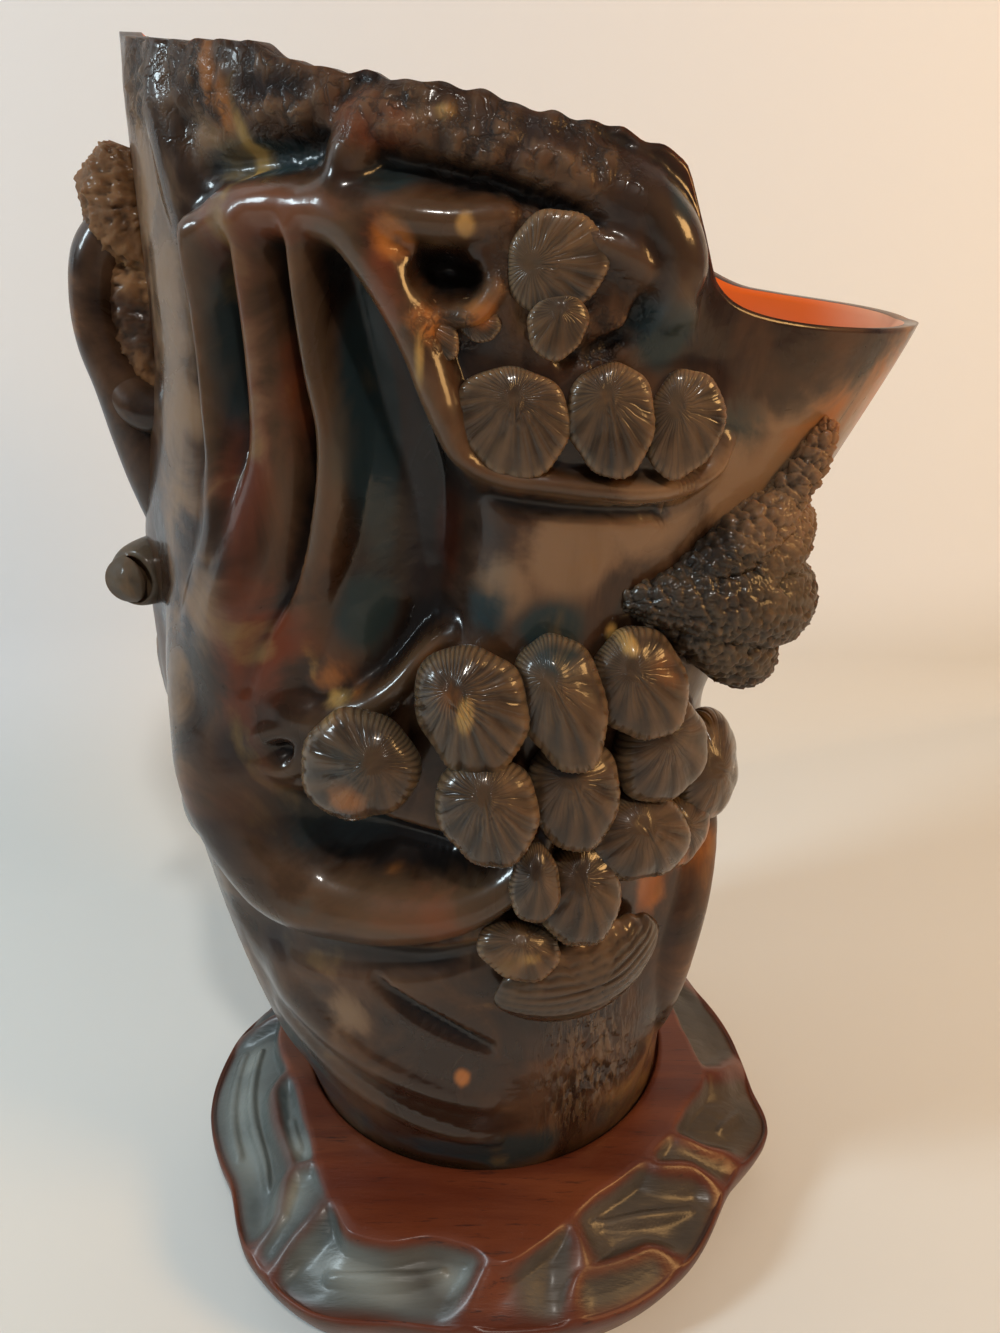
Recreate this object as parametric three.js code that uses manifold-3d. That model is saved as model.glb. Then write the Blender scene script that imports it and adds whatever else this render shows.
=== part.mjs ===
// A libation cup carved from one horn, on its carved hardwood stand.
// Millimetres, +Z up. The origin is on the underside of the stand, below the centre of the cup's foot.
// Angles are in degrees round the cup, counter-clockwise from above: 0 is the spout (+X),
// 90 the back, 180 the side away from the spout, 270 the front.
// Heights on the cup are shares of CUP_HEIGHT, measured from the foot.

import * as THREE from 'three';
import { mergeVertices } from 'three/addons/utils/BufferGeometryUtils.js';
import Module from 'manifold-3d';

const wasm = await Module();
wasm.setup();

// Sizes of the stand
const STAND_HEIGHT = 16;
const STAND_RADIUS = 45.5;
const STAND_TOP_RADIUS = 37;
const STAND_EDGE_HEIGHT = 9.5;
const STAND_FOOT_INSET = 3.5;
const SCOOP_DEPTH = 3.2;
const RIDGE_WIDTH = 5;
const SEAT_DEPTH = 1.5;
const SEAT_CLEARANCE = 0.5;

// Sizes of the horn
const CUP_HEIGHT = 147.5;
const SPOUT_HEIGHT = 117.3;
const FOOT_RADIUS = 29;
const WAIST_REACH = 31;
const SPOUT_REACH = 54.5;
const BELLY_REACH = 41;
const MOUTH_REACH = 38.5;
const SIDE_REACH = 32.5;
const RIM_WALL = 2.8;
const LOWER_WALL = 8.5;
const CAVITY_FLOOR = 24;
const CARVED_WALL = 2;
const FOOT_RING = 8;
const FOOT_HOLLOW = 2;

// Sizes of the carving
const DISC_RADIUS = 5.6;
const DISC_DOME = 3;
const DISC_EDGE = 1.3;
const DISC_ROOT = 9;
const BOUGH_RADIUS = 4;
const RELIEF = 4;
const FOLD_WIDTH = 8;

// How finely the surfaces are divided
const CUP_COLUMNS = 72;
const CUP_ROWS = 43;
const CAVITY_COLUMNS = 34;
const DISC_SIDES = 10;
const BOUGH_SIDES = 8;
const STAND_COLUMNS = 90;

const seatFloor = STAND_HEIGHT - SEAT_DEPTH;
const mix = THREE.MathUtils.lerp;
const radians = THREE.MathUtils.degToRad;

// A smooth curve through stations of [place, value], level outside them, that never overshoots.
function smoothThrough(stations, at) {
  const last = stations.length - 1;
  if (at <= stations[0][0]) return stations[0][1];
  if (at >= stations[last][0]) return stations[last][1];
  const slope = (i) => (stations[i + 1][1] - stations[i][1]) / (stations[i + 1][0] - stations[i][0]);
  const tangent = (i) => {
    if (i === 0) return slope(0);
    if (i === last) return slope(last - 1);
    const product = slope(i - 1) * slope(i);
    return product <= 0 ? 0 : (2 * product) / (slope(i - 1) + slope(i));
  };
  const i = stations.findIndex(([place]) => place > at) - 1;
  const step = stations[i + 1][0] - stations[i][0];
  const u = (at - stations[i][0]) / step;
  return (2 * u ** 3 - 3 * u ** 2 + 1) * stations[i][1] + (u ** 3 - 2 * u ** 2 + u) * step * tangent(i)
    + (3 * u ** 2 - 2 * u ** 3) * stations[i + 1][1] + (u ** 3 - u ** 2) * step * tangent(i + 1);
}

// The bare horn, before it is carved

const SPOUT_SIDE = [
  [0, FOOT_RADIUS],
  [0.25, mix(FOOT_RADIUS, WAIST_REACH, 0.75)],
  [0.44, WAIST_REACH],
  [0.55, mix(WAIST_REACH, SPOUT_REACH, 0.23)],
  [0.67, mix(WAIST_REACH, SPOUT_REACH, 0.6)],
  [0.795, SPOUT_REACH],
  [1, mix(WAIST_REACH, SPOUT_REACH, 1.49)],
];
const TRUNK_SIDE = [
  [0, FOOT_RADIUS],
  [0.1, mix(FOOT_RADIUS, BELLY_REACH, 0.33)],
  [0.25, mix(FOOT_RADIUS, BELLY_REACH, 0.67)],
  [0.42, mix(FOOT_RADIUS, BELLY_REACH, 0.92)],
  [0.6, BELLY_REACH],
  [0.8, MOUTH_REACH],
  [1, 1.026 * MOUTH_REACH],
];
const FRONT_AND_BACK = [
  [0, FOOT_RADIUS],
  [0.1, mix(FOOT_RADIUS, SIDE_REACH, 0.43)],
  [0.3, mix(FOOT_RADIUS, SIDE_REACH, 0.86)],
  [0.5, SIDE_REACH],
  [1, SIDE_REACH],
];

function hornRadius(angle, height) {
  const share = height / CUP_HEIGHT;
  const across = Math.cos(radians(angle));
  const along = Math.sin(radians(angle));
  const reach = smoothThrough(across > 0 ? SPOUT_SIDE : TRUNK_SIDE, share);
  return 1 / Math.hypot(across / reach, along / smoothThrough(FRONT_AND_BACK, share));
}

// The rim's height round the cup: 0 is the spout's lip, 1 the highest point. It steps down beside the spout.
const RIM = [
  [0, 0], [30, 0.07], [42, 0.2], [70, 0.45], [90, 0.58], [135, 0.88], [180, 0.97], [195, 1], [230, 0.9],
  [265, 0.78], [295, 0.65], [303, 0.58], [309, 0.2], [316, 0.14], [330, 0.06], [345, 0.01], [360, 0],
];

function rimHeight(angle) {
  return mix(SPOUT_HEIGHT, CUP_HEIGHT, smoothThrough(RIM, angle));
}

// The carving, as strokes over the horn's surface: broad masses are left standing, boughs and folds
// stand on them, and hollows are cut between the boughs. Each stop of a stroke is
// [angle, height share, half-width as a share of FOLD_WIDTH, depth as a share of RELIEF].
const MASSES = [
  { name: 'trunk',
    stops: [[200, 0.973, 1.75, 0.25], [202, 0.85, 2, 0.5], [206, 0.715, 2.1, 0.65],
      [208, 0.58, 2.2, 0.75], [212, 0.46, 2.1, 0.9]] },
  { name: 'flank',
    stops: [[186, 0.7, 2, 0.75], [184, 0.565, 2.2, 1.1], [185, 0.43, 2.2, 1.2], [188, 0.31, 2.1, 1.15],
      [192, 0.2, 1.9, 0.9], [200, 0.105, 1.5, 0.5]] },
  { name: 'trunk front',
    stops: [[218, 0.66, 1.5, 0.65], [219, 0.58, 1.9, 1.15], [219, 0.5, 2, 1.35], [221, 0.43, 1.9, 1.25],
      [228, 0.36, 1.5, 0.75]] },
  { name: 'upper panel', stops: [[258, 0.89, 1.25, 0.4], [276, 0.85, 1.75, 0.5], [294, 0.84, 1.6, 0.5]] },
  { name: 'bed of the upper discs',
    stops: [[270, 0.755, 1.1, 0.4], [286, 0.75, 1.1, 0.45], [302, 0.75, 1, 0.45]] },
  { name: 'rock', stops: [[216, 0.185, 1.75, 0.6], [236, 0.13, 1.5, 0.45], [262, 0.085, 1.25, 0.3]] },
  { name: 'spout flank',
    stops: [[342, 0.4, 1.5, 0.3], [334, 0.295, 1.5, 0.6], [326, 0.185, 1.5, 0.6],
      [316, 0.08, 1.25, 0.3]] },
  { name: 'bed of the lower discs', stops: [[284, 0.51, 1.6, 0.3], [292, 0.4, 1.4, 0.25]] },
  { name: 'back trunk',
    stops: [[176, 0.4, 1.9, 1], [160, 0.46, 1.9, 0.85], [148, 0.54, 1.75, 0.75], [138, 0.635, 1.6, 0.65],
      [130, 0.74, 1.5, 0.5]] },
  { name: 'back rim',
    stops: [[172, 0.92, 1.5, 0.3], [150, 0.905, 1.5, 0.4], [128, 0.865, 1.5, 0.45],
      [112, 0.81, 1.5, 0.4]] },
  { name: 'bed of the back discs', stops: [[92, 0.555, 1.6, 0.35], [82, 0.47, 1.5, 0.3]] },
  { name: 'back rock',
    stops: [[160, 0.145, 1.6, 0.5], [130, 0.12, 1.5, 0.4], [98, 0.13, 1.5, 0.4],
      [66, 0.105, 1.4, 0.35]] },
];
const FOLDS = [
  { name: 'leading fold',
    stops: [[230, 0.85, 0.3, 0.8], [229, 0.79, 0.3, 1], [229, 0.75, 0.35, 1.05], [230, 0.7, 0.42, 1.05],
      [230, 0.64, 0.55, 0.9], [229, 0.58, 0.75, 0.7], [229, 0.51, 1, 0.5], [230, 0.46, 1, 0.25]] },
  { name: 'arch',
    stops: [[228, 0.83, 0.3, 0.7], [229, 0.858, 0.37, 1], [234, 0.877, 0.42, 1.05],
      [240, 0.882, 0.46, 1.05], [246, 0.879, 0.46, 1.05], [251, 0.871, 0.44, 1.05],
      [255, 0.851, 0.42, 1.05], [259, 0.824, 0.4, 1], [261, 0.797, 0.38, 0.95], [264, 0.767, 0.35, 0.9],
      [267, 0.736, 0.32, 0.8], [271, 0.713, 0.3, 0.5]] },
  { name: 'second fold',
    stops: [[237, 0.858, 0.3, 0.4], [238, 0.83, 0.33, 0.7], [238, 0.78, 0.38, 0.8],
      [238, 0.73, 0.42, 0.85], [236, 0.675, 0.46, 0.85], [232, 0.605, 0.5, 0.85],
      [230, 0.56, 0.5, 0.5]] },
  { name: 'third fold',
    stops: [[244, 0.817, 0.25, 0.55], [246, 0.783, 0.25, 0.65], [247, 0.742, 0.27, 0.7],
      [247, 0.7, 0.28, 0.7], [245, 0.655, 0.3, 0.7], [241, 0.6, 0.3, 0.6], [238, 0.553, 0.28, 0.3]] },
  { name: 'sill of the great hollow',
    stops: [[233, 0.525, 0.35, 0.35], [238, 0.512, 0.37, 0.55], [245, 0.519, 0.35, 0.6],
      [253, 0.546, 0.33, 0.6], [259, 0.573, 0.3, 0.5], [264, 0.586, 0.3, 0.25]] },
  { name: 'lower bough',
    stops: [[216, 0.485, 0.92, 0.45], [218, 0.43, 1.05, 0.9], [222, 0.376, 1.05, 1.25],
      [231, 0.34, 0.92, 1.35], [242, 0.332, 0.78, 1.35], [254, 0.336, 0.68, 1.3],
      [265, 0.346, 0.58, 1.25], [274, 0.365, 0.48, 1.1], [280, 0.39, 0.4, 0.9],
      [283, 0.417, 0.32, 0.5]] },
  { name: 'ledge under the upper discs',
    stops: [[265, 0.745, 0.3, 0.4], [268, 0.727, 0.3, 0.65], [274, 0.714, 0.32, 0.7],
      [283, 0.707, 0.32, 0.7], [291, 0.702, 0.32, 0.7], [299, 0.698, 0.32, 0.68], [307, 0.7, 0.32, 0.6],
      [312, 0.711, 0.3, 0.4]] },
  { name: 'bough along the rim',
    stops: [[249, 0.892, 0.3, 0.65], [251, 0.916, 0.33, 0.78], [254, 0.935, 0.38, 0.78],
      [260, 0.938, 0.42, 0.65], [267, 0.932, 0.45, 0.55], [275, 0.923, 0.45, 0.55],
      [283, 0.912, 0.45, 0.6], [291, 0.898, 0.48, 0.65], [297, 0.882, 0.5, 0.75], [300, 0.855, 0.48, 0.7],
      [301, 0.824, 0.35, 0.33]] },
  { name: 'twig over the oval hollow',
    stops: [[247, 0.894, 0.33, 0.78], [252, 0.885, 0.38, 0.88], [257, 0.881, 0.36, 0.78],
      [263, 0.878, 0.33, 0.68], [269, 0.878, 0.3, 0.5], [275, 0.882, 0.3, 0.23]] },
  { name: 'bark at the rim', stops: [[222, 0.966, 0.55, 0.26], [234, 0.957, 0.63, 0.4],
    [245, 0.946, 0.5, 0.3]] },
  { name: 'edge of the flat flank',
    stops: [[214, 0.986, 0.3, 0.4], [215, 0.946, 0.3, 0.5], [216, 0.905, 0.33, 0.52],
      [218, 0.864, 0.35, 0.52], [218, 0.817, 0.34, 0.4], [219, 0.77, 0.3, 0.16]] },
  { name: 'shoulder of the trunk',
    stops: [[210, 0.566, 0.63, 0.16], [213, 0.512, 0.68, 0.45], [218, 0.451, 0.68, 0.52],
      [223, 0.403, 0.55, 0.23]] },
  { name: 'root under the spout',
    stops: [[338, 0.417, 0.5, 0.4], [340, 0.349, 0.55, 0.7], [334, 0.281, 0.58, 0.78],
      [328, 0.214, 0.55, 0.65], [330, 0.132, 0.5, 0.33]] },
  { name: 'broad leaf',
    stops: [[283, 0.247, 0.5, 0.5], [288, 0.256, 0.75, 0.95], [294, 0.265, 0.8, 1.1],
      [300, 0.275, 0.75, 0.95], [305, 0.283, 0.5, 0.5]] },
  { name: 'back bough',
    stops: [[180, 0.47, 0.63, 0.2], [170, 0.5, 0.78, 1], [156, 0.555, 0.75, 1.25], [143, 0.635, 0.7, 1.2],
      [132, 0.71, 0.63, 1.05], [121, 0.735, 0.55, 0.9], [108, 0.73, 0.48, 0.7], [95, 0.71, 0.45, 0.4]] },
  { name: 'lower back bough',
    stops: [[186, 0.35, 0.63, 0.2], [176, 0.3, 0.8, 1], [160, 0.255, 0.78, 1.35], [137, 0.245, 0.73, 1.3],
      [114, 0.28, 0.63, 1.05], [99, 0.34, 0.5, 0.65]] },
  { name: 'upper back bough',
    stops: [[172, 0.93, 0.45, 0.33], [160, 0.905, 0.55, 0.9], [144, 0.88, 0.53, 0.9],
      [127, 0.835, 0.48, 0.78], [112, 0.775, 0.45, 0.45]] },
];
const HOLLOWS = [
  { name: 'great hollow',
    stops: [[246, 0.858, 0.3, 0.65], [249, 0.83, 0.35, 1.15], [252, 0.797, 0.53, 1.5],
      [255, 0.749, 0.73, 1.7], [257, 0.702, 0.9, 1.7], [257, 0.647, 0.98, 1.6], [255, 0.6, 0.83, 1.35],
      [250, 0.559, 0.58, 0.78]] },
  { name: 'slot between the folds',
    stops: [[239, 0.824, 0.25, 0.7], [240, 0.783, 0.25, 0.8], [241, 0.742, 0.25, 0.8],
      [241, 0.695, 0.25, 0.7], [239, 0.647, 0.25, 0.6], [235, 0.6, 0.25, 0.5]] },
  { name: 'hollow over the lower bough',
    stops: [[228, 0.43, 0.55, 0.6], [236, 0.413, 0.63, 1.15], [246, 0.397, 0.63, 1.4],
      [257, 0.39, 0.55, 1.35], [268, 0.387, 0.43, 1], [275, 0.397, 0.3, 0.45]] },
  { name: 'hollow under the lower bough',
    stops: [[210, 0.254, 0.63, 0.4], [226, 0.254, 0.53, 0.65], [243, 0.261, 0.4, 0.68],
      [257, 0.27, 0.35, 0.6], [270, 0.291, 0.3, 0.4]] },
  { name: 'scoop over the arch',
    stops: [[226, 0.909, 0.3, 0.35], [232, 0.91, 0.3, 0.5], [239, 0.913, 0.3, 0.55],
      [245, 0.924, 0.3, 0.3]] },
  { name: 'oval hollow', stops: [[264, 0.847, 0.3, 0.7], [267, 0.846, 0.32, 0.9],
    [269, 0.843, 0.3, 0.7]] },
  { name: 'groove down the foot',
    stops: [[244, 0.243, 0.28, 0.25], [252, 0.223, 0.3, 0.4], [261, 0.2, 0.3, 0.4],
      [272, 0.177, 0.28, 0.2]] },
  { name: 'back hollow', stops: [[154, 0.81, 0.6, 0.78], [150, 0.74, 0.7, 1.05],
    [152, 0.66, 0.63, 0.85]] },
  { name: 'lower back hollow', stops: [[166, 0.375, 0.58, 0.9], [146, 0.335, 0.63, 1.05],
    [124, 0.35, 0.55, 0.9]] },
];

// How strongly a stroke is felt at a point, from its depth on the stroke's line to nothing at its edge.
// Roundness shapes its section: below 1 is full, like a bough, and above 1 is soft, like a swelling.
function strokeAt(stops, angle, height, roundness) {
  const unroll = (a) => radians(a) * SIDE_REACH;
  let felt = 0;
  for (let i = 0; i + 1 < stops.length; i++) {
    const [fromAngle, fromShare, fromWidth, fromDepth] = stops[i];
    const [toAngle, toShare, toWidth, toDepth] = stops[i + 1];
    const along = new THREE.Vector2(unroll(toAngle - fromAngle), (toShare - fromShare) * CUP_HEIGHT);
    const turn = ((((angle - fromAngle) % 360) + 540) % 360) - 180;
    const point = new THREE.Vector2(unroll(turn), height - fromShare * CUP_HEIGHT);
    const part = THREE.MathUtils.clamp(point.dot(along) / along.lengthSq(), 0, 1);
    const away = point.addScaledVector(along, -part).length() / (FOLD_WIDTH * mix(fromWidth, toWidth, part));
    if (away < 1) felt = Math.max(felt, mix(fromDepth, toDepth, part) * (1 - away ** 2) ** roundness);
  }
  return felt;
}

// Strokes of one kind flow into each other where they meet, and don't pile up.
function together(strokes, angle, height, roundness) {
  const SHARPNESS = 4;
  const sum = strokes.reduce((total, { stops }) => {
    return total + strokeAt(stops, angle, height, roundness) ** SHARPNESS;
  }, 0);
  return sum ** (1 / SHARPNESS);
}

// Hollows are cut beside the folds, never through them.
function relief(angle, height) {
  const folds = together(FOLDS, angle, height, 0.85);
  const hollows = together(HOLLOWS, angle, height, 1.25) * (1 - THREE.MathUtils.smoothstep(folds, 0.2, 1));
  return RELIEF * (together(MASSES, angle, height, 2) + folds - hollows);
}

// The wall between the horn's bare surface and the hollow inside it: thick below, thin at the rim.
function wallAt(angle, height) {
  return mix(LOWER_WALL, RIM_WALL, THREE.MathUtils.smoothstep(height / rimHeight(angle), 0.5, 1));
}

// A closed solid of the library from a closed geometry.
function solidOf(geometry) {
  const bare = new THREE.BufferGeometry();
  bare.setAttribute('position', geometry.getAttribute('position').clone());
  bare.setIndex(geometry.index ? geometry.index.clone() : null);
  const merged = mergeVertices(bare, 1e-3);
  const triangles = [];
  const index = merged.index.array;
  for (let i = 0; i < index.length; i += 3) {
    const [a, b, c] = [index[i], index[i + 1], index[i + 2]];
    if (a !== b && b !== c && c !== a) triangles.push(a, b, c);
  }
  const vertProperties = new Float32Array(merged.getAttribute('position').array);
  const triVerts = new Uint32Array(triangles);
  return new wasm.Manifold(new wasm.Mesh({ numProp: 3, vertProperties, triVerts }));
}

function geometryOf(solid) {
  const mesh = solid.getMesh();
  const geometry = new THREE.BufferGeometry();
  geometry.setAttribute('position', new THREE.BufferAttribute(mesh.vertProperties, 3));
  geometry.setIndex(new THREE.BufferAttribute(mesh.triVerts, 1));
  geometry.computeVertexNormals();
  return geometry;
}

// A lathe of rings and columns whose every point place(angle, ring) then moves to its own spot.
// Rings run up the outside; the first and the last are single points on the axis.
function shapedLathe(rings, angles, place) {
  const profile = rings.map((ring, i) => new THREE.Vector2(i === 0 || i === rings.length - 1 ? 0 : 1, i));
  const lathe = new THREE.LatheGeometry(profile, angles.length);
  const position = lathe.getAttribute('position');
  for (let column = 0; column <= angles.length; column++) {
    for (let row = 0; row < rings.length; row++) {
      const angle = angles[column % angles.length];
      const { radius, height } = place(angle, rings[row]);
      const x = radius * Math.cos(radians(angle));
      const y = radius * Math.sin(radians(angle));
      position.setXYZ(column * rings.length + row, x, y, height);
    }
  }
  return lathe;
}

const evenAngles = (count) => Array.from({ length: count }, (_, i) => (360 * i) / count);

// Angles that stand closer together at the front, where the carving is finest.
function carvedAngles(count) {
  const FRONT = 262;
  const CROWDING = 0.35;
  return evenAngles(count).map((angle) => {
    const fromFront = radians(angle - FRONT);
    return (angle - THREE.MathUtils.radToDeg(CROWDING * Math.sin(fromFront)) + 360) % 360;
  });
}

// The vessel, solid, with its carving. It stands on a flat ring, with a shallow hollow inside it.
function vesselSolid() {
  const ringInside = FOOT_RADIUS - FOOT_RING;
  const rings = [
    { under: 0, height: FOOT_HOLLOW },
    { under: ringInside - FOOT_HOLLOW, height: FOOT_HOLLOW },
    { under: ringInside, height: 0 },
  ];
  for (let row = 0; row <= CUP_ROWS; row++) rings.push({ share: row / CUP_ROWS });
  rings.push({ top: 0.6 }, { top: 0 });
  const place = (angle, ring) => {
    if (ring.under !== undefined) return { radius: ring.under, height: seatFloor + ring.height };
    if (ring.top !== undefined) {
      const height = ring.top > 0 ? rimHeight(angle) : mix(SPOUT_HEIGHT, CUP_HEIGHT, 0.5);
      return { radius: ring.top * hornRadius(angle, height), height: seatFloor + height };
    }
    const height = ring.share * rimHeight(angle);
    const carved = Math.max(relief(angle, height), CARVED_WALL - wallAt(angle, height));
    const kept = THREE.MathUtils.smoothstep(ring.share, 0, 0.06)
      * (1 - 0.35 * THREE.MathUtils.smoothstep(ring.share, 0.96, 1));
    return { radius: hornRadius(angle, height) + kept * carved, height: seatFloor + height };
  };
  return solidOf(shapedLathe(rings, carvedAngles(CUP_COLUMNS), place));
}

// The hollow that holds the wine: thin-walled at the rim, thicker below, with a round floor.
function cavitySolid() {
  const FLOOR_ROWS = 4;
  const WALL_ROWS = 9;
  const OVER_RIM = 6;
  const rings = [{ floor: 0 }];
  for (let row = 1; row <= FLOOR_ROWS; row++) rings.push({ floor: row / FLOOR_ROWS });
  for (let row = 1; row <= WALL_ROWS; row++) rings.push({ wall: row / WALL_ROWS });
  rings.push({ lid: true });
  const floorRise = LOWER_WALL * 1.6;
  const place = (angle, ring) => {
    const top = CUP_HEIGHT + OVER_RIM;
    const bottom = CAVITY_FLOOR + floorRise;
    if (ring.lid) return { radius: 0, height: seatFloor + top };
    const height = ring.wall ? mix(bottom, top, ring.wall) : bottom;
    const radius = hornRadius(angle, height) - wallAt(angle, height);
    if (ring.wall) return { radius, height: seatFloor + height };
    const turn = (Math.PI / 2) * ring.floor;
    const floorHeight = CAVITY_FLOOR + floorRise * (1 - Math.cos(turn));
    return { radius: radius * Math.sin(turn), height: seatFloor + floorHeight };
  };
  return solidOf(shapedLathe(rings, evenAngles(CAVITY_COLUMNS), place));
}

// Where a carved form sits: a point on the horn, with the directions out of it, round it and up it.
function seatOn(angle, share, lift = 0) {
  const at = (a, h) => {
    const radius = hornRadius(a, h);
    return new THREE.Vector3(radius * Math.cos(radians(a)), radius * Math.sin(radians(a)), seatFloor + h);
  };
  const height = share * CUP_HEIGHT;
  const point = at(angle, height);
  const round = at(angle + 1, height).sub(point).normalize();
  const up = at(angle, height + 1).sub(point).normalize();
  const out = new THREE.Vector3().crossVectors(round, up).normalize();
  up.crossVectors(out, round);
  point.addScaledVector(out, lift);
  return { point, out, round, up };
}

// A pine's needle disc: a rounded dome, and a root that joins it to the horn.
function discGeometry(radius) {
  const root = -DISC_EDGE - DISC_ROOT;
  const profile = [
    [0, root],
    [0.8 * radius, root],
    [radius, -0.5 * DISC_EDGE],
    [0.75 * radius, 0.7 * DISC_DOME],
    [0, DISC_DOME],
  ].map(([x, y]) => new THREE.Vector2(x, y));
  return new THREE.LatheGeometry(profile, DISC_SIDES);
}

// A disc's size is a share of DISC_RADIUS and its lift off the horn a share of RELIEF. Lean is how far
// its free edge is lifted, and towards says which edge, as a clock hand in degrees from up, turning
// towards the spout at the front. Stretch makes it taller than it is wide, and slant turns it clockwise.
function discSolid({ angle, share, lift, lean, towards, size = 1, stretch = 1, slant = 0 }) {
  const seat = seatOn(angle, share, lift * RELIEF);
  const geometry = discGeometry(DISC_RADIUS * size);
  geometry.scale(1, 1, stretch);
  geometry.rotateY(radians(towards - slant));
  geometry.rotateX(radians(lean));
  geometry.rotateY(-radians(towards));
  const basis = new THREE.Matrix4().makeBasis(seat.round, seat.out, seat.up.clone().negate());
  geometry.applyMatrix4(basis.setPosition(seat.point));
  return solidOf(geometry);
}

// The needle discs, group by group: the front's upper and lower groups, then the back's.
const DISCS = [
  { angle: 283, share: 0.852, size: 0.82, lift: 0.4, lean: 3, towards: 90, stretch: 1.07 },
  { angle: 283, share: 0.814, size: 0.52, lift: 0.5, lean: 8, towards: 180, stretch: 1.07 },
  { angle: 276.5, share: 0.752, size: 1.02, lift: 0.4, lean: 4, towards: 180, stretch: 0.96 },
  { angle: 292, share: 0.752, size: 0.79, lift: 0.4, lean: 8, towards: 150, stretch: 1.32, slant: 5 },
  { angle: 304, share: 0.746, size: 0.7, lift: 0.4, lean: 12, towards: 130, stretch: 1.46, slant: 4 },
  { angle: 249, share: 0.489, size: 1.18, lift: 1.2, lean: 8, towards: 230, stretch: 1.08 },
  { angle: 269, share: 0.54, size: 1.14, lift: 1.05, lean: 6, towards: 150, stretch: 1.18 },
  { angle: 272, share: 0.458, size: 1.04, lift: 1.35, lean: 8, towards: 170, stretch: 1.19 },
  { angle: 288, share: 0.459, size: 0.98, lift: 0.95, lean: 16, towards: 145, stretch: 1.3, slant: 8 },
  { angle: 285, share: 0.542, size: 0.88, lift: 0.95, lean: 18, towards: 150, stretch: 1.66, slant: -8 },
  { angle: 308, share: 0.478, size: 1.2, lift: 0.95, lean: 20, towards: 140, slant: 12 },
  { angle: 300, share: 0.547, size: 0.96, lift: 0.95, lean: 20, towards: 145, stretch: 1.33, slant: -12 },
  { angle: 331, share: 0.417, size: 1.2, lift: 0.85, lean: 20, towards: 120, stretch: 1.09 },
  { angle: 321, share: 0.374, size: 0.84, lift: 0.75, lean: 20, towards: 130, stretch: 1.12 },
  { angle: 291, share: 0.36, size: 0.88, lift: 1, lean: 18, towards: 150, stretch: 1.49, slant: 10 },
  { angle: 304, share: 0.4, size: 1.2, lift: 1, lean: 20, towards: 140, stretch: 0.91, slant: 20 },
  { angle: 280, share: 0.386, size: 0.58, lift: 1.3, lean: 10, towards: 170, stretch: 1.49 },
  { angle: 278, share: 0.313, size: 0.92, lift: 0.95, lean: 26, towards: 175, stretch: 0.73, slant: 10 },
  { angle: 100, share: 0.6, size: 1.18, lift: 0.75, lean: 12, towards: 200 },
  { angle: 83, share: 0.63, size: 1.1, lift: 0.7, lean: 16, towards: 220 },
  { angle: 92, share: 0.535, size: 1.14, lift: 0.85, lean: 16, towards: 190 },
  { angle: 75, share: 0.55, size: 1.04, lift: 0.75, lean: 18, towards: 210, stretch: 1.1 },
  { angle: 110, share: 0.52, size: 1.04, lift: 0.85, lean: 14, towards: 160, stretch: 1.07 },
  { angle: 65, share: 0.48, size: 1.1, lift: 0.75, lean: 20, towards: 220 },
  { angle: 84, share: 0.455, size: 1.1, lift: 0.85, lean: 18, towards: 190, stretch: 1.06 },
  { angle: 89, share: 0.385, lift: 0.8, lean: 18, towards: 180 },
  { angle: 70, share: 0.4, size: 0.93, lift: 0.7, lean: 18, towards: 210, stretch: 1.08 },
  { angle: 117, share: 0.86, size: 1.1, lift: 0.55, lean: 8, towards: 180 },
  { angle: 102, share: 0.82, lift: 0.55, lean: 12, towards: 200 },
  { angle: 120, share: 0.78, size: 0.82, lift: 0.55, lean: 12, towards: 160 },
  { angle: 28, share: 0.4, size: 1.04, lift: 0.7, lean: 14, towards: 200 },
  { angle: 40, share: 0.34, size: 0.96, lift: 0.7, lean: 14, towards: 200 },
];

// A bough in high relief: a tube of changing thickness along points of [angle, share, lift, thickness].
// Lift off the horn is a share of RELIEF and thickness a share of BOUGH_RADIUS.
function boughSolid({ path, steps }) {
  const stops = path.map(([angle, share, lift]) => seatOn(angle, share, lift * RELIEF).point);
  const curve = new THREE.CatmullRomCurve3(stops);
  const thickness = path.map((stop, i) => [i / (path.length - 1), stop[3] * BOUGH_RADIUS]);
  const frames = curve.computeFrenetFrames(steps);
  const tube = new THREE.CylinderGeometry(1, 1, 1, BOUGH_SIDES, steps);
  const position = tube.getAttribute('position');
  for (let i = 0; i < position.count; i++) {
    const along = 0.5 - position.getY(i);
    const step = Math.round(along * steps);
    const radius = smoothThrough(thickness, along);
    const spot = curve.getPoint(along);
    spot.addScaledVector(frames.normals[step], position.getX(i) * radius);
    spot.addScaledVector(frames.binormals[step], position.getZ(i) * radius);
    position.setXYZ(i, spot.x, spot.y, spot.z);
  }
  return solidOf(tube);
}

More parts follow.
